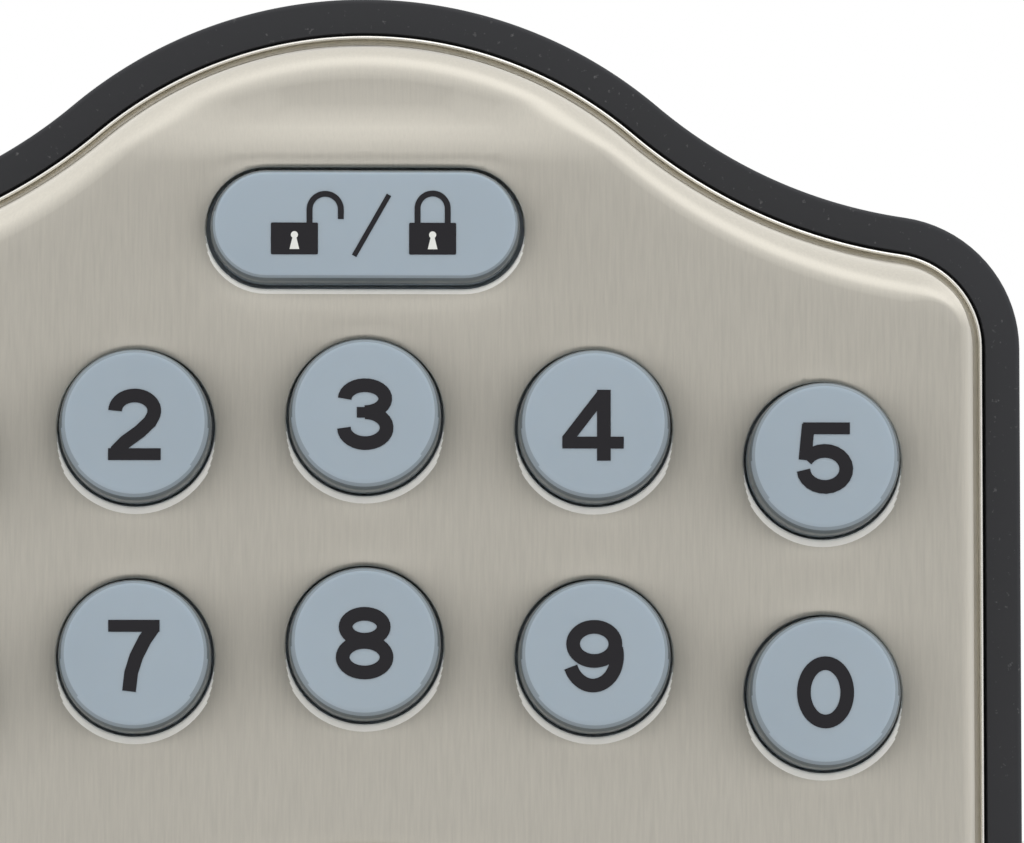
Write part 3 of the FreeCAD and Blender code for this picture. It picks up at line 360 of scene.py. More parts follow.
def bump(tree, value, strength, distance, under=None):
    node = tree.nodes.new("ShaderNodeBump")
    node.inputs["Strength"].default_value = strength
    node.inputs["Distance"].default_value = distance
    tree.links.new(value, node.inputs["Height"])
    if under:
        tree.links.new(under, node.inputs["Normal"])
    return node.outputs["Normal"]


def shade(colour, factor):
    return tuple(min(1.0, c * factor) for c in colour)


def metal(name, colour, rough=0.34, grain=None, contrast=0.05, depth=0.6, metallic=1.0, wide=1800.0,
          spread=0.0):
    """Metal with a grain brushed along an axis or an even fine grain; spread blurs across a grain along Z."""
    mat, tree, bsdf, coords = shader(name)
    long = wide / 16
    scale = {None: (wide,) * 3, "Z": (wide, wide, long), "X": (long, wide, wide)}[grain]
    if spread:
        tangent = tree.nodes.new("ShaderNodeTangent")
        tangent.direction_type = "RADIAL"
        tangent.axis = "Z"
        tree.links.new(tangent.outputs["Tangent"], bsdf.inputs["Tangent"])
        bsdf.inputs["Anisotropic"].default_value = spread
    streaks = noise(tree, coords, scale, 4.0, 0.6)
    clouds = noise(tree, coords, 55.0, 2.0)
    tree.links.new(ramp(tree, streaks, shade(colour, 1 - contrast), shade(colour, 1 + contrast)),
                   bsdf.inputs["Base Color"])
    blend = tree.nodes.new("ShaderNodeMix")
    blend.inputs["Factor"].default_value = 0.35
    tree.links.new(streaks, blend.inputs["A"])
    tree.links.new(clouds, blend.inputs["B"])
    tree.links.new(ramp(tree, blend.outputs["Result"], rough - 0.05, rough + 0.06), bsdf.inputs["Roughness"])
    bsdf.inputs["Metallic"].default_value = metallic
    tree.links.new(bump(tree, streaks, 0.35, depth * 1e-5), bsdf.inputs["Normal"])
    return mat


def turned(name, colour, rough=0.3):
    """Metal with fine lathe rings about the Y axis."""
    mat, tree, bsdf, coords = shader(name)
    apart = tree.nodes.new("ShaderNodeSeparateXYZ")
    tree.links.new(coords, apart.inputs["Vector"])
    flat = tree.nodes.new("ShaderNodeCombineXYZ")
    tree.links.new(apart.outputs["X"], flat.inputs["X"])
    tree.links.new(apart.outputs["Z"], flat.inputs["Y"])
    length = tree.nodes.new("ShaderNodeVectorMath")
    length.operation = "LENGTH"
    tree.links.new(flat.outputs["Vector"], length.inputs[0])
    ring = tree.nodes.new("ShaderNodeCombineXYZ")
    tree.links.new(length.outputs["Value"], ring.inputs["X"])
    tree.links.new(apart.outputs["Y"], ring.inputs["Y"])
    rings = noise(tree, ring.outputs["Vector"], (2600.0, 2600.0, 1.0), 4.0, 0.6)
    tree.links.new(ramp(tree, rings, shade(colour, 0.95), shade(colour, 1.05)), bsdf.inputs["Base Color"])
    tree.links.new(ramp(tree, rings, rough - 0.05, rough + 0.05), bsdf.inputs["Roughness"])
    bsdf.inputs["Metallic"].default_value = 1.0
    tree.links.new(bump(tree, rings, 0.4, 8e-6), bsdf.inputs["Normal"])
    return mat


def moulded(name, colour, rough=0.5, grain=900.0, depth=12.0, contrast=0.05, coat=0.0, soft=0.0, shine=0.5):
    """Moulded plastic, rubber or paint with a fine texture."""
    mat, tree, bsdf, coords = shader(name)
    bsdf.inputs["Specular IOR Level"].default_value = shine
    fine = noise(tree, coords, grain, 3.0)
    broad = noise(tree, coords, 60.0, 2.0)
    tree.links.new(ramp(tree, broad, shade(colour, 1 - contrast), shade(colour, 1 + contrast)),
                   bsdf.inputs["Base Color"])
    tree.links.new(ramp(tree, fine, rough - 0.06, rough + 0.06), bsdf.inputs["Roughness"])
    bsdf.inputs["Coat Weight"].default_value = coat
    bsdf.inputs["Coat Roughness"].default_value = 0.2
    if soft:
        bsdf.inputs["Subsurface Weight"].default_value = soft
        bsdf.inputs["Subsurface Radius"].default_value = (0.6, 0.8, 1.0)
        bsdf.inputs["Subsurface Scale"].default_value = 0.0012
    tree.links.new(bump(tree, fine, 0.3, depth * 1e-6), bsdf.inputs["Normal"])
    return mat


def speckled(name, colour, speck, rough=0.6):
    """Rubber with a faint bloom of light specks."""
    mat, tree, bsdf, coords = shader(name)
    fine = noise(tree, coords, 2600.0, 2.0, 0.7)
    tree.links.new(ramp(tree, fine, colour, speck, (0.66, 0.80)), bsdf.inputs["Base Color"])
    bsdf.inputs["Roughness"].default_value = rough
    bsdf.inputs["Specular IOR Level"].default_value = 0.3
    tree.links.new(bump(tree, fine, 0.25, 1.5e-5), bsdf.inputs["Normal"])
    return mat


def board(name, colour):
    """Solder mask with traces showing as a faint raised maze."""
    mat, tree, bsdf, coords = shader(name)
    mapping = tree.nodes.new("ShaderNodeMapping")
    mapping.inputs["Scale"].default_value = (420.0, 420.0, 420.0)
    tree.links.new(coords, mapping.inputs["Vector"])
    cells = tree.nodes.new("ShaderNodeTexVoronoi")
    cells.distance = "CHEBYCHEV"
    cells.feature = "F1"
    cells.inputs["Scale"].default_value = 1.0
    cells.inputs["Randomness"].default_value = 0.55
    tree.links.new(mapping.outputs["Vector"], cells.inputs["Vector"])
    tree.links.new(ramp(tree, cells.outputs["Distance"], shade(colour, 1.5), colour, (0.44, 0.50)),
                   bsdf.inputs["Base Color"])
    bsdf.inputs["Roughness"].default_value = 0.32
    tree.links.new(bump(tree, cells.outputs["Distance"], 0.25, 2e-5), bsdf.inputs["Normal"])
    return mat


NICKEL = (0.665, 0.634, 0.562)
KEY_TEXTURE = {"grain": 700.0, "depth": 6.0, "contrast": 0.03, "soft": 0.25}
PRINT_TEXTURE = {"grain": 1500.0, "depth": 4.0}
FINISH_TABLE = {
    "black_rubber": (speckled, (0.030, 0.031, 0.035), {"speck": (0.12, 0.12, 0.125)}),
    "satin_nickel": (metal, NICKEL, {"rough": 0.47, "grain": "Z", "contrast": 0.055, "depth": 0.5,
                                     "wide": 6400.0, "spread": 0.9}),
    # Lower in roughness than the satin plate, and paler than nickel itself: the paleness is a painted
    # highlight on the rim's crest.
    "polished_nickel": (metal, (0.90, 0.88, 0.82), {"rough": 0.18, "contrast": 0.02, "depth": 0.1}),
    # A near-white finish on the lower lips of the key holes: a painted highlight.
    "burnished_lip": (metal, (0.97, 0.955, 0.90), {"rough": 0.4, "contrast": 0.02, "depth": 0.3,
                                                   "metallic": 0.05}),
    "turned_nickel": (turned, NICKEL, {"rough": 0.27}),
    "key_plastic": (moulded, (0.36, 0.43, 0.49), {"rough": 0.34, "coat": 0.15, **KEY_TEXTURE}),
    # Two darker copies of the key plastic, put on the steep faces of the keys' soft edges as painted shade.
    "key_edge": (moulded, (0.115, 0.135, 0.145), {"rough": 0.4, "coat": 0.1, **KEY_TEXTURE}),
    "key_shade": (moulded, (0.245, 0.29, 0.325), {"rough": 0.36, "coat": 0.15, **KEY_TEXTURE}),
    "print_black": (moulded, (0.021, 0.020, 0.023), {"rough": 0.55, "shine": 0.12, **PRINT_TEXTURE}),
    "print_white": (moulded, (0.78, 0.79, 0.75), {"rough": 0.5, "contrast": 0.03, **PRINT_TEXTURE}),
    "zinc_casting": (metal, (0.42, 0.43, 0.44), {"rough": 0.5, "contrast": 0.08, "depth": 2.0,
                                                 "wide": 900.0}),
    "zinc_plated_steel": (metal, (0.62, 0.64, 0.66), {"rough": 0.3, "contrast": 0.07, "depth": 0.8,
                                                      "wide": 1400.0}),
    "grey_silicone": (moulded, (0.34, 0.36, 0.38), {"rough": 0.55, "grain": 500.0, "depth": 8.0}),
    "nickel_spring": (metal, (0.78, 0.76, 0.70), {"rough": 0.2, "grain": "X", "depth": 0.3}),
    "circuit_board": (board, (0.012, 0.115, 0.045), {}),
    "led_lens": (moulded, (0.85, 0.88, 0.92), {"rough": 0.15, "grain": 500.0, "depth": 2.0, "contrast": 0.02,
                                               "coat": 0.5}),
    "black_chip": (moulded, (0.030, 0.030, 0.033), {"rough": 0.55, "grain": 2200.0, "depth": 6.0,
                                                    "contrast": 0.1}),
    "white_connector": (moulded, (0.78, 0.76, 0.68), {"rough": 0.45, "grain": 800.0, "depth": 5.0,
                                                      "contrast": 0.03}),
    "nickel_plated_brass": (turned, (0.66, 0.64, 0.58), {"rough": 0.24}),
    "brass": (metal, (0.75, 0.55, 0.22), {"rough": 0.28, "contrast": 0.06, "wide": 1500.0}),
    "hardened_steel": (metal, (0.26, 0.26, 0.27), {"rough": 0.36, "contrast": 0.12, "depth": 1.0,
                                                   "wide": 900.0}),
    "satin_nickel_latch": (metal, (0.64, 0.62, 0.56), {"rough": 0.33, "grain": "Z", "contrast": 0.07,
                                                       "depth": 0.5}),
    "dark_plastic": (moulded, (0.045, 0.045, 0.050), {"grain": 1300.0, "depth": 18.0, "contrast": 0.08}),
    "satin_nickel_paint": (metal, (0.52, 0.505, 0.455), {"rough": 0.42, "contrast": 0.10, "depth": 0.8,
                                                         "metallic": 0.85, "wide": 3200.0}),
    "cell_jacket": (moulded, (0.05, 0.07, 0.13), {"rough": 0.25, "grain": 400.0, "depth": 3.0, "coat": 0.4}),
    "gear_plastic": (moulded, (0.80, 0.78, 0.70), {"rough": 0.38, "depth": 6.0, "contrast": 0.03}),
    "magnet": (metal, (0.70, 0.70, 0.72), {"rough": 0.2, "contrast": 0.04, "depth": 0.4}),
    "cable_sleeve": (moulded, (0.030, 0.030, 0.032), {"grain": 1200.0, "depth": 15.0, "contrast": 0.08}),
}
FINISHES = {name: make(name, colour, **look) for name, (make, colour, look) in FINISH_TABLE.items()}


def paint(obj, *finishes):
    """Gives an object its finishes; faces have the first until they are told otherwise."""
    obj.data.materials.clear()
    for finish in finishes:
        obj.data.materials.append(FINISHES[finish])


for entry in frame["record"]["subparts"]:
    paint(frame["nodes"][entry["node"]], entry["material_slot"])


# ------------------------------------------------------------------ front plate
# A hole's rolled lip reaches out this far; its lower part is wider by the share SKEW.
ROLL, OVAL_ROLL, BIG_ROLL, SKEW = 0.42, 0.30, 0.35, 0.42
LIP_TURN, LIP_SLOPE = 0.12, 0.11
# How far the face dips towards a hole, and over what distance.
KEY_DISH, KEY_DISH_REACH, OVAL_DISH, OVAL_DISH_REACH = 0.10, 0.8, 0.19, 0.9
# The face falls back by LEAN between two heights, most in the middle.
LEAN, LEAN_FROM_Z, LEAN_RISE, LEAN_HALF_W = 0.88, 63.7, 3.4, 17.0
EDGE_Y = -14.4
CREST, VALLEY = RIM_FRONT, RIM_FRONT + 0.42
INNER_INSET, WALL_FOOT, WALL_FOOT_Y = 3.9, 0.56, CREST - 0.1
# The plate's rim from the back, as (inset, depth): a narrow crest, a valley and the foot of the wall.
RIM_PROFILE = [(INNER_INSET, RIM_BACK), (0.0, RIM_BACK), (0.0, CREST + 0.14), (0.03, CREST + 0.05),
               (0.08, CREST + 0.01), (0.14, CREST), (0.20, CREST + 0.03), (0.26, VALLEY - 0.1),
               (0.36, VALLEY), (0.48, VALLEY - 0.03), (0.53, VALLEY - 0.14), (WALL_FOOT, WALL_FOOT_Y)]
# The rim's first loops: their front-facing faces get the pale polished finish, partly a painted highlight.
POLISHED_HIGHLIGHT_LOOPS = 8


def roll_profile(roll):
    """Offset from the hole and depth below the face, from the face down into the hole."""
    steps = [(roll - (roll - LIP_TURN) * t, LIP_SLOPE * (roll - LIP_TURN) * t)
             for t in (0.0, 0.25, 0.5, 0.75, 1.0)]
    low = steps[-1][1]
    steps += [(LIP_TURN * (1 - math.sin(a)), low + LIP_TURN * (1.0 + LIP_SLOPE - math.cos(a)))
              for a in [math.pi / 2 * i / 4 for i in range(1, 5)]]
    return steps


def lip(g, roll):
    """Shift down and growth of a hole's outline g out from it: the rolled lip is wider below than above."""
    lipped = min(g, roll)
    return SKEW * lipped, (1 - SKEW) * lipped + max(0.0, g - roll)


def key_outline(at, g):
    down, grow = lip(g, ROLL)
    return bend(at[0], at[1] - down, KEY_HOLE_R + grow, KEY_HOLE_R + grow, 0, 360, 72)[:-1]


def oval_outline(g):
    down, grow = lip(g, OVAL_ROLL)
    wider = 2 * (OVAL_GAP + grow)
    return stadium(OVAL_AT[0], OVAL_AT[1] - down, OVAL_W + wider, OVAL_T + wider)


def collar_outline(g):
    return bend(0, 0, OPENING_R + g, OPENING_R + g, 0, 360, 200)[:-1]


# Each hole's outline, as a function of the distance out from it, and its roll.
KEY_HOLES = [(lambda g, at=at: key_outline(at, g), ROLL) for at in KEY_AT.values()]
KEY_HOLES.append((oval_outline, OVAL_ROLL))
HOLES = KEY_HOLES + [(collar_outline, BIG_ROLL)]


def key_gap(x, z):
    """Distance from the nearest key hole's lip, less than nothing inside it."""
    down, grow = lip(ROLL, ROLL)
    return min(math.hypot(x - hx, z - hz + down) for hx, hz in KEY_AT.values()) - KEY_HOLE_R - grow


def from_oval(x, z):
    """Distance from the middle line of the oval key."""
    return math.hypot(max(0.0, abs(x - OVAL_AT[0]) - (OVAL_W - OVAL_T) / 2), z - OVAL_AT[1])


def oval_gap(x, z):
    """Distance from the oval hole's lip, less than nothing inside it."""
    down, grow = lip(OVAL_ROLL, OVAL_ROLL)
    return from_oval(x, z + down) - OVAL_T / 2 - OVAL_GAP - grow


def on_face(x, z, margin=0.0):
    """True where the face is further than margin from every hole's lip."""
    clear_of_collar = math.hypot(x, z) > OPENING_R + BIG_ROLL + margin
    return clear_of_collar and min(key_gap(x, z), oval_gap(x, z)) > margin


def in_painted_highlight(x, z):
    """True on the lower part of a key hole's lip, which tapers up both sides of the hole: the zone painted
    near-white as a painted highlight of the light from above.
    """
    if oval_gap(x, z) < key_gap(x, z):
        far, edge_r, drop, roll = from_oval(x, z), OVAL_T / 2 + OVAL_GAP, OVAL_AT[1] - z, OVAL_ROLL
    else:
        far, hole_z = min((math.hypot(x - hx, z - hz), hz) for hx, hz in KEY_AT.values())
        edge_r, drop, roll = KEY_HOLE_R, hole_z - z, ROLL
    return far - edge_r < roll * min(1.0, 1.6 * drop / edge_r - 0.15)


def dish(x, z):
    """How far the pressed face dips towards the holes."""
    keys = KEY_DISH * math.exp(-max(0.0, key_gap(x, z)) / KEY_DISH_REACH)
    oval = OVAL_DISH * math.exp(-max(0.0, oval_gap(x, z)) / OVAL_DISH_REACH)
    return max(keys, oval)


def lean(x, z):
    """How far the face falls back over the oval key, up to the top edge."""
    rise = min(1.0, max(0.0, (z - LEAN_FROM_Z) / LEAN_RISE))
    side = max(0.0, 1 - (x / LEAN_HALF_W) ** 2)
    return LEAN * rise * rise * (3 - 2 * rise) * side


def wall_inset(normal):
    """How far in the drafted wall meets the rounded edge."""
    return 1.62 + 0.36 * abs(normal[1])


def edge_inset(normal):
    """How far in the flat face starts: wider over the crowns than along the sides."""
    return 2.35 + 1.75 * abs(normal[1]) ** 1.5


def face_grid(edge):
    """Points spread over the face inside its edge, denser round the keys, and rings round each key."""
    step, coarse, keys_from_z, shrink = 0.7, 2.5, 26, 0.985
    left, bottom, width, height = -35, -45, 70, 120
    fence = [(x * shrink, MIDDLE_Z + (z - MIDDLE_Z) * shrink) for x, z in edge]
    points = []
    for i in range(int(height / step)):
        z = bottom + i * step
        stride = step if z > keys_from_z else step * coarse
        if z <= keys_from_z and i % 3:
            continue
        for j in range(int(width / stride) + 1):
            x = left + j * stride + (stride / 2 if i % 2 else 0)
            if on_face(x, z, 0.3) and within(x, z, fence):
                points.append((x, z))
    for shape, roll in KEY_HOLES:
        for g in (0.22, 0.5, 0.9):
            points += [p for p in shape(roll + g) if on_face(*p, g - 0.02)]
    return points


def make_front():
    base, normals = outline_normals(-SEAT)
    n = len(base)

    def ring(inset, y):
        return [(x - nx * inset, y, z - nz * inset) for (x, z), (nx, nz) in zip(base, normals)]

    def wall_ring(t):
        """A ring on the drafted wall, t from 0 at its foot to 1 at the rounded edge."""
        insets = [WALL_FOOT + (wall_inset(normal) - WALL_FOOT) * t for normal in normals]
        y = WALL_FOOT_Y + (EDGE_Y - WALL_FOOT_Y) * t
        return [(x - nx * inset, y, z - nz * inset) for (x, z), (nx, nz), inset in zip(base, normals, insets)]

    def soft_ring(t):
        """A ring on the rounded front edge, t from 0 at the wall to 1 at the flat."""
        a = t * math.pi / 2
        points = []
        for (x, z), normal in zip(base, normals):
            near, full = wall_inset(normal), edge_inset(normal)
            inset = near + (full - near) * (1 - math.cos(a))
            at = x - normal[0] * inset, z - normal[1] * inset
            points.append((at[0], EDGE_Y + (FRONT + lean(*at) - EDGE_Y) * math.sin(a), at[1]))
        return points

    loops = [ring(inset, y) for inset, y in RIM_PROFILE]
    loops += [wall_ring(t) for t in (0.25, 0.5, 0.75, 1.0)]
    loops += [soft_ring(i / 12) for i in range(1, 13)]
    verts, faces = sweep(loops, close=False)
    last = (len(loops) - 1) * n

    # The face's outer points are those of the last ring; the rest are new.
    edge = [(p[0], p[2]) for p in loops[-1]]
    points, triangles, sources = triangulate([edge] + [shape(roll) for shape, roll in HOLES], face_grid(edge))
    index = []
    for p, source in zip(points, sources):
        outer = next((s for s in source if s < n), None)
        index.append(len(verts) if outer is None else last + outer)
        if outer is None:
            verts.append((p.x, FRONT + dish(p.x, p.y) + lean(p.x, p.y), p.y))
    for triangle in triangles:
        at = middle(points, triangle)
        if on_face(*at) and within(*at, edge):
            faces.append(tuple(index[i] for i in triangle))

    inner_loops = []
    for shape, roll in HOLES:
        face_y = [FRONT + dish(*p) + lean(*p) for p in shape(roll)]
        loops = [[(x, y + down, z) for (x, z), y in zip(shape(out_by), face_y)]
                 for out_by, down in roll_profile(roll)]
        inner_loops.append(shape(0.0))
        loops.append([(x, FRONT + WALL, z) for x, z in inner_loops[-1]])
        add_skin(verts, faces, loops)

    back = [(p[0], p[2]) for p in ring(INNER_INSET, 0)]
    points, triangles, _ = triangulate([back] + inner_loops)
    start = len(verts)
    verts += [(p.x, FRONT + WALL, p.y) for p in points]
    for triangle in triangles:
        at = middle(points, triangle)
        if within(*at, back) and not any(within(*at, loop) for loop in inner_loops):
            faces.append(tuple(start + i for i in triangle))
    add_skin(verts, faces, [ring(INNER_INSET, RIM_BACK), ring(INNER_INSET, FRONT + WALL)])

    obj = piece("front_plate", verts, faces, "lock", "satin_nickel", "front_cover", 50)
    paint(obj, "satin_nickel", "polished_nickel", "burnished_lip")
    # The lower lips of the key holes get the near-white finish, a painted highlight; the rim's front crest
    # gets the pale polished finish, partly a painted highlight.
    for polygon in obj.data.polygons:
        x, y, z = [c / MM for c in polygon.center]
        by_keys = y < FRONT + 0.9 and math.hypot(x, z) > OPENING_R + 3
        if by_keys and not on_face(x, z) and in_painted_highlight(x, z):
            polygon.material_index = 2
        elif polygon.index < POLISHED_HIGHLIGHT_LOOPS * n and polygon.normal.y < -0.3:
            polygon.material_index = 1


make_front()


# ------------------------------------------------------------------ gasket
def make_gasket():
    """Flat rubber border with a small groove where the plate's rim sits on it."""
    grow, depth, inner = GASKET_BORDER, -GASKET_DEPTH, -4.0
    round_r, chamfer, groove = 0.3, 0.25, 0.9
    profile = [(inner, 0.0), (grow - chamfer, 0.0), (grow, -chamfer), (grow, depth + round_r)]
    profile += [(grow - round_r + round_r * math.cos(a), depth + round_r - round_r * math.sin(a))
                for a in [math.pi / 2 * i / 6 for i in range(1, 7)]]
    profile += [(0.06, depth), (0.0, depth + 0.08), (-0.03, depth + groove), (-0.4, depth + groove),
                (-0.5, depth), (inner, depth)]
    base, normals = outline_normals()
    loops = [[(x + nx * g, y, z + nz * g) for (x, z), (nx, nz) in zip(base, normals)] for g, y in profile]
    paint(piece("gasket", *sweep(loops), "lock", "black_rubber", "weather_gasket", 50), "black_rubber")


make_gasket()


# ------------------------------------------------------------------ keys
FLANGE_FRONT, FLANGE_BACK, STEM_END, FLANGE_OUT = -15.2, -14.4, -13.3, 0.9
STEM_R, OVAL_STEM_W, OVAL_STEM_T = 2.0, 9.0, 4.0
# A print stands this far out of its key, and reaches a little into it.
PRINT, PRINT_SUNK, DIGIT_SCALE = 0.03, 0.02, 0.985
# The soft edge of a key: width, depth, how much its side tapers, and how far its flat top is moved up.
LIP, LIP_DEPTH, TAPER, LIP_SHIFT = 0.52, 0.42, 0.05, 0.15
OVAL_LIP, OVAL_LIP_SHIFT = 0.38, 0.10
LIP_ANGLES = [math.pi / 2 * i / 8 for i in range(1, 9)]


def cap_profile():
    """Flat face, soft edge, side that widens where it meets the plate, flange and stem."""
    top = KEY_R - TAPER
    profile = [(0, CAP_Y), (top - LIP, CAP_Y)]
    profile += [(top - LIP + LIP * math.sin(a), CAP_Y + LIP_DEPTH * (1 - math.cos(a))) for a in LIP_ANGLES]
    profile += [(KEY_R, FRONT), (KEY_R, FLANGE_FRONT), (KEY_R + FLANGE_OUT, FLANGE_FRONT),
                (KEY_R + FLANGE_OUT, FLANGE_BACK), (STEM_R, FLANGE_BACK), (STEM_R, STEM_END), (0, STEM_END)]
    return profile


def shifted_lip(verts, top, shift):
    """Moves the flat top up a little, so a cap's soft edge is wider below than above."""
    return [(x, y, z + shift * min(1.0, max(0.0, 1 - (y - top) / LIP_DEPTH))) for x, y, z in verts]


def make_cap(name, verts, faces, body, node):
    """A key, with the steep part of its soft edge painted darker in two steps by how far it turns aside:
    painted shade.
    """
    obj = piece(name, verts, faces, body, "key_plastic", node, 30)
    paint(obj, "key_plastic", "key_edge", "key_shade")
    # Faces that turn aside from the front get the darker copies: painted shade.
    for polygon in obj.data.polygons:
        if polygon.center.y < (FRONT + 0.1) * MM and polygon.normal.y > -0.93:
            polygon.material_index = 1 if polygon.normal.y > -0.72 else 2


def make_print(name, body, finish, origin, y, keep, drop=(), scale=1.0):
    """Polygons printed on a key's face at depth y, about an origin."""
    points, triangles = flat_union(keep, drop)
    placed = [(origin[0] + p.x * scale, origin[1] + p.y * scale) for p in points]
    verts, faces = plate_solid(placed, triangles, y - PRINT, PRINT + PRINT_SUNK)
    paint(piece(name, verts, faces, body, "key_plastic", None, 30), finish)


def make_keys():
    for digit, at in KEY_AT.items():
        verts, faces = lathe(cap_profile(), 96, *at)
        verts = shifted_lip(verts, CAP_Y, LIP_SHIFT)
        make_cap("cap_" + digit, verts, faces, "keycap_" + digit, "key_" + digit)
        make_print("digit_" + digit, "keycap_" + digit, "print_black", at, CAP_Y, glyph(digit),
                   scale=DIGIT_SCALE)


def make_oval():
    def loop(g, y):
        return [(x, y, z) for x, z in stadium(*OVAL_AT, OVAL_W + 2 * g, OVAL_T + 2 * g)]

    def stem(y):
        return [(x, y, z) for x, z in stadium(*OVAL_AT, OVAL_STEM_W, OVAL_STEM_T)]

    loops = [loop(-TAPER - OVAL_LIP, OVAL_Y)]
    loops += [loop(-TAPER - OVAL_LIP * (1 - math.sin(a)), OVAL_Y + LIP_DEPTH * (1 - math.cos(a)))
              for a in LIP_ANGLES]
    loops += [loop(0, FRONT), loop(0, FLANGE_FRONT)]
    loops += [loop(FLANGE_OUT, FLANGE_FRONT), loop(FLANGE_OUT, FLANGE_BACK)]
    loops += [stem(FLANGE_BACK), stem(STEM_END)]
    verts, faces = sweep(loops, close=False)
    verts = shifted_lip(verts, OVAL_Y, OVAL_LIP_SHIFT)
    n = len(loops[0])
    faces += [tuple(range(n)), tuple((len(loops) - 1) * n + i for i in range(n))]
    make_cap("cap_lock", verts, faces, "keycap_lock", "key_lock")


def make_icons():
    """An open and a shut padlock with a slash between them."""
    open_x, shut_x, slash_x = -3.94, 3.75, 0.35
    keyhole = [bend(0, -0.52, 0.20, 0.20, -55, 235, 14) + [(-0.27, -1.32), (0.27, -1.32)]]
    body = [rounded(-1.31, -1.62, 1.31, 0.16, 0.08)]
    shut = stroke([(-0.84, 0.0)] + bend(0, 0.96, 0.84, 0.84, 180, 0, 24) + [(0.84, 0.0)], 0.33)
    swung = stroke([(0.84, 0.0)] + bend(1.71, 0.90, 0.87, 0.87, 180, 0, 24) + [(2.58, 0.36)], 0.33)
    slash = stroke([(-0.97, -1.70), (0.97, 1.72)], 0.28)
    icons = [("keyhole_open", "print_white", open_x, keyhole, []),
             ("keyhole_shut", "print_white", shut_x, keyhole, []),
             ("icon_open", "print_black", open_x, body + swung, keyhole),
             ("icon_shut", "print_black", shut_x, body + shut, keyhole),
             ("icon_slash", "print_black", slash_x, slash, [])]
    for name, finish, dx, keep, drop in icons:
        make_print(name, "keycap_lock", finish, (OVAL_AT[0] + dx, OVAL_AT[1]), OVAL_Y, keep, drop)


make_keys()
make_oval()
make_icons()


# ------------------------------------------------------------------ collar
def make_collar():
    """Turned shell: flange behind the plate, a slope to the rounded nose, and the cylinder's seat."""
    low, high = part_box("security_collar")
    flange_r, nose, back = high[0] / MM, low[1] / MM, high[1] / MM
    flange_t, neck_r, hub_r, seat_r = 1.4, 25.15, 23.0, 17.6
    profile = [(hub_r, back), (flange_r, back), (flange_r, back - flange_t), (neck_r, back - flange_t)]
    profile += [(neck_r, -18.2), (25.1, -18.7), (24.9, -20.2), (24.7, -22.0), (23.9, -24.0), (22.9, -26.0)]
    profile += [(21.9, -27.7), (21.3, nose + 0.9), (20.9, nose + 0.35), (20.2, nose + 0.05), (19.4, nose)]
    profile += [(18.3, nose), (17.75, nose + 0.2), (seat_r, nose + 0.6), (seat_r, -24.5), (20.6, -20.0)]
    profile += [(hub_r, -17.4)]
    obj = piece("collar", *lathe(profile, 220), "collar", "satin_nickel", "security_collar", 30)
    paint(obj, "turned_nickel")


make_collar()

# ------------------------------------------------------------------ floor, light and camera, in metres
FLOOR_DROP, FLOOR_HALF = 0.004, 6.0
# A dim round panel stands before the object; its inner and outer edges are in degrees from its middle.
PANEL = Vector((-0.05, -math.cos(math.radians(14)), -math.sin(math.radians(14)))).normalized()
PANEL_INNER, PANEL_OUTER = 17.0, 31.0
PANEL_LIGHT, ROOM_LIGHT = 0.185, 1.05
LOW_LIGHT, HIGH_LIGHT, STRENGTH = 0.53, 1.04, 1.10


def make_floor():
    size, z = FLOOR_HALF, CAD_BOX[0][2] - FLOOR_DROP
    mesh = bpy.data.meshes.new("floor")
    corners = [(-size, -size, z), (size, -size, z), (size, size, z), (-size, size, z)]
    mesh.from_pydata(corners, [], [(0, 1, 2, 3)])
    obj = bpy.data.objects.new("floor", mesh)
    bpy.context.scene.collection.objects.link(obj)
    mat, _, bsdf, _ = shader("floor")
    bsdf.inputs["Base Color"].default_value = (0.82, 0.82, 0.82, 1.0)
    bsdf.inputs["Roughness"].default_value = 0.9
    obj.data.materials.append(mat)


def softbox(name, place, target, size, power):
    """Rectangular light at a place, facing a target."""
    data = bpy.data.lights.new(name, "AREA")
    data.shape = "RECTANGLE"
    data.size, data.size_y = size
    data.energy = power
    obj = bpy.data.objects.new(name, data)
    obj.location = place
    obj.rotation_euler = (Vector(target) - Vector(place)).to_track_quat("-Z", "Y").to_euler()
    bpy.context.scene.collection.objects.link(obj)


def map_range(tree, value, low, high):
    """A value brought to 0 at low and 1 at high."""
    node = tree.nodes.new("ShaderNodeMapRange")
    node.inputs["From Min"].default_value = low
    node.inputs["From Max"].default_value = high
    tree.links.new(value, node.inputs["Value"])
    return node.outputs["Result"]


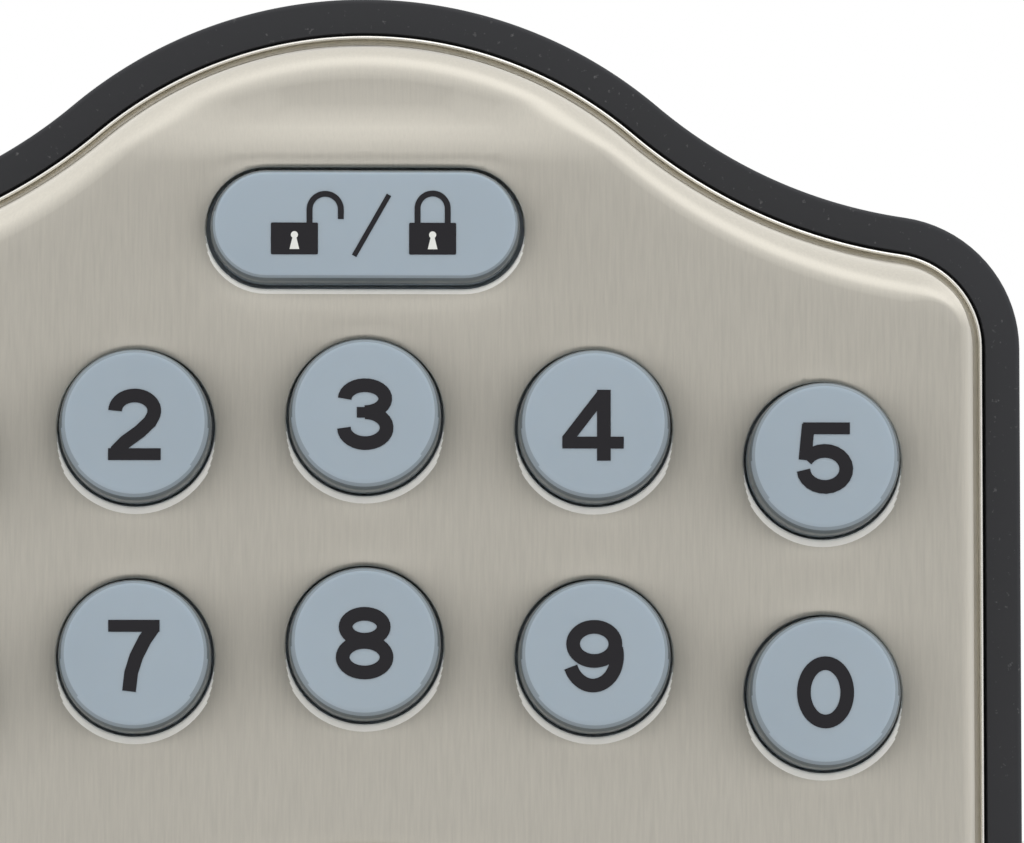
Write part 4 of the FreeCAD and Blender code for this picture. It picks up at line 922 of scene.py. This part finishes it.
def make_world():
    """White to the camera; for light, brighter above than below and dimmer round the camera."""
    world = bpy.data.worlds.new("studio")
    bpy.context.scene.world = world
    world.use_nodes = True
    tree = world.node_tree
    background = tree.nodes["Background"]
    coords = tree.nodes.new("ShaderNodeTexCoord").outputs["Generated"]
    toward = tree.nodes.new("ShaderNodeVectorMath")
    toward.operation = "DOT_PRODUCT"
    tree.links.new(coords, toward.inputs[0])
    toward.inputs[1].default_value = PANEL
    edges = [math.cos(math.radians(angle)) for angle in (PANEL_OUTER, PANEL_INNER)]
    near = map_range(tree, toward.outputs["Value"], *edges)
    apart = tree.nodes.new("ShaderNodeSeparateXYZ")
    tree.links.new(coords, apart.inputs["Vector"])
    height = map_range(tree, apart.outputs["Z"], -0.5, 1.0)
    product = tree.nodes.new("ShaderNodeMix")
    product.data_type = "RGBA"
    product.blend_type = "MULTIPLY"
    product.inputs["Factor"].default_value = 1.0
    tree.links.new(ramp(tree, near, ROOM_LIGHT, PANEL_LIGHT, (0.0, 1.0)), product.inputs["A"])
    tree.links.new(ramp(tree, height, LOW_LIGHT, HIGH_LIGHT, (0.0, 1.0)), product.inputs["B"])
    tree.links.new(product.outputs["Result"], background.inputs["Color"])
    background.inputs["Strength"].default_value = STRENGTH
    white = tree.nodes.new("ShaderNodeBackground")
    white.inputs["Color"].default_value = (1, 1, 1, 1)
    white.inputs["Strength"].default_value = 1.0
    mix = tree.nodes.new("ShaderNodeMixShader")
    tree.links.new(tree.nodes.new("ShaderNodeLightPath").outputs["Is Camera Ray"], mix.inputs["Fac"])
    tree.links.new(background.outputs["Background"], mix.inputs[1])
    tree.links.new(white.outputs["Background"], mix.inputs[2])
    tree.links.new(mix.outputs["Shader"], tree.nodes["World Output"].inputs["Surface"])


def make_camera():
    """Camera a little under the keys, looking up at them; view_width is what it takes in at the target."""
    eye, target = Vector((0.0, -0.43, 0.018)), Vector((0.00847, -0.003, 0.05012))
    view_width, sensor = 0.0590, 36.0
    data = bpy.data.cameras.new("camera")
    data.sensor_width = sensor
    data.lens = sensor * (target - eye).length / view_width
    data.clip_start = 0.01
    data.clip_end = 50.0
    camera = bpy.data.objects.new("camera", data)
    camera.location = eye
    camera.rotation_euler = (target - eye).to_track_quat("-Z", "Y").to_euler()
    bpy.context.scene.collection.objects.link(camera)
    bpy.context.scene.camera = camera


make_floor()
make_world()
softbox("top_light", (0.25, -0.30, 0.70), (0, 0, 0.04), (0.60, 0.40), 0.6)
make_camera()
bpy.context.scene.view_settings.view_transform = "Standard"
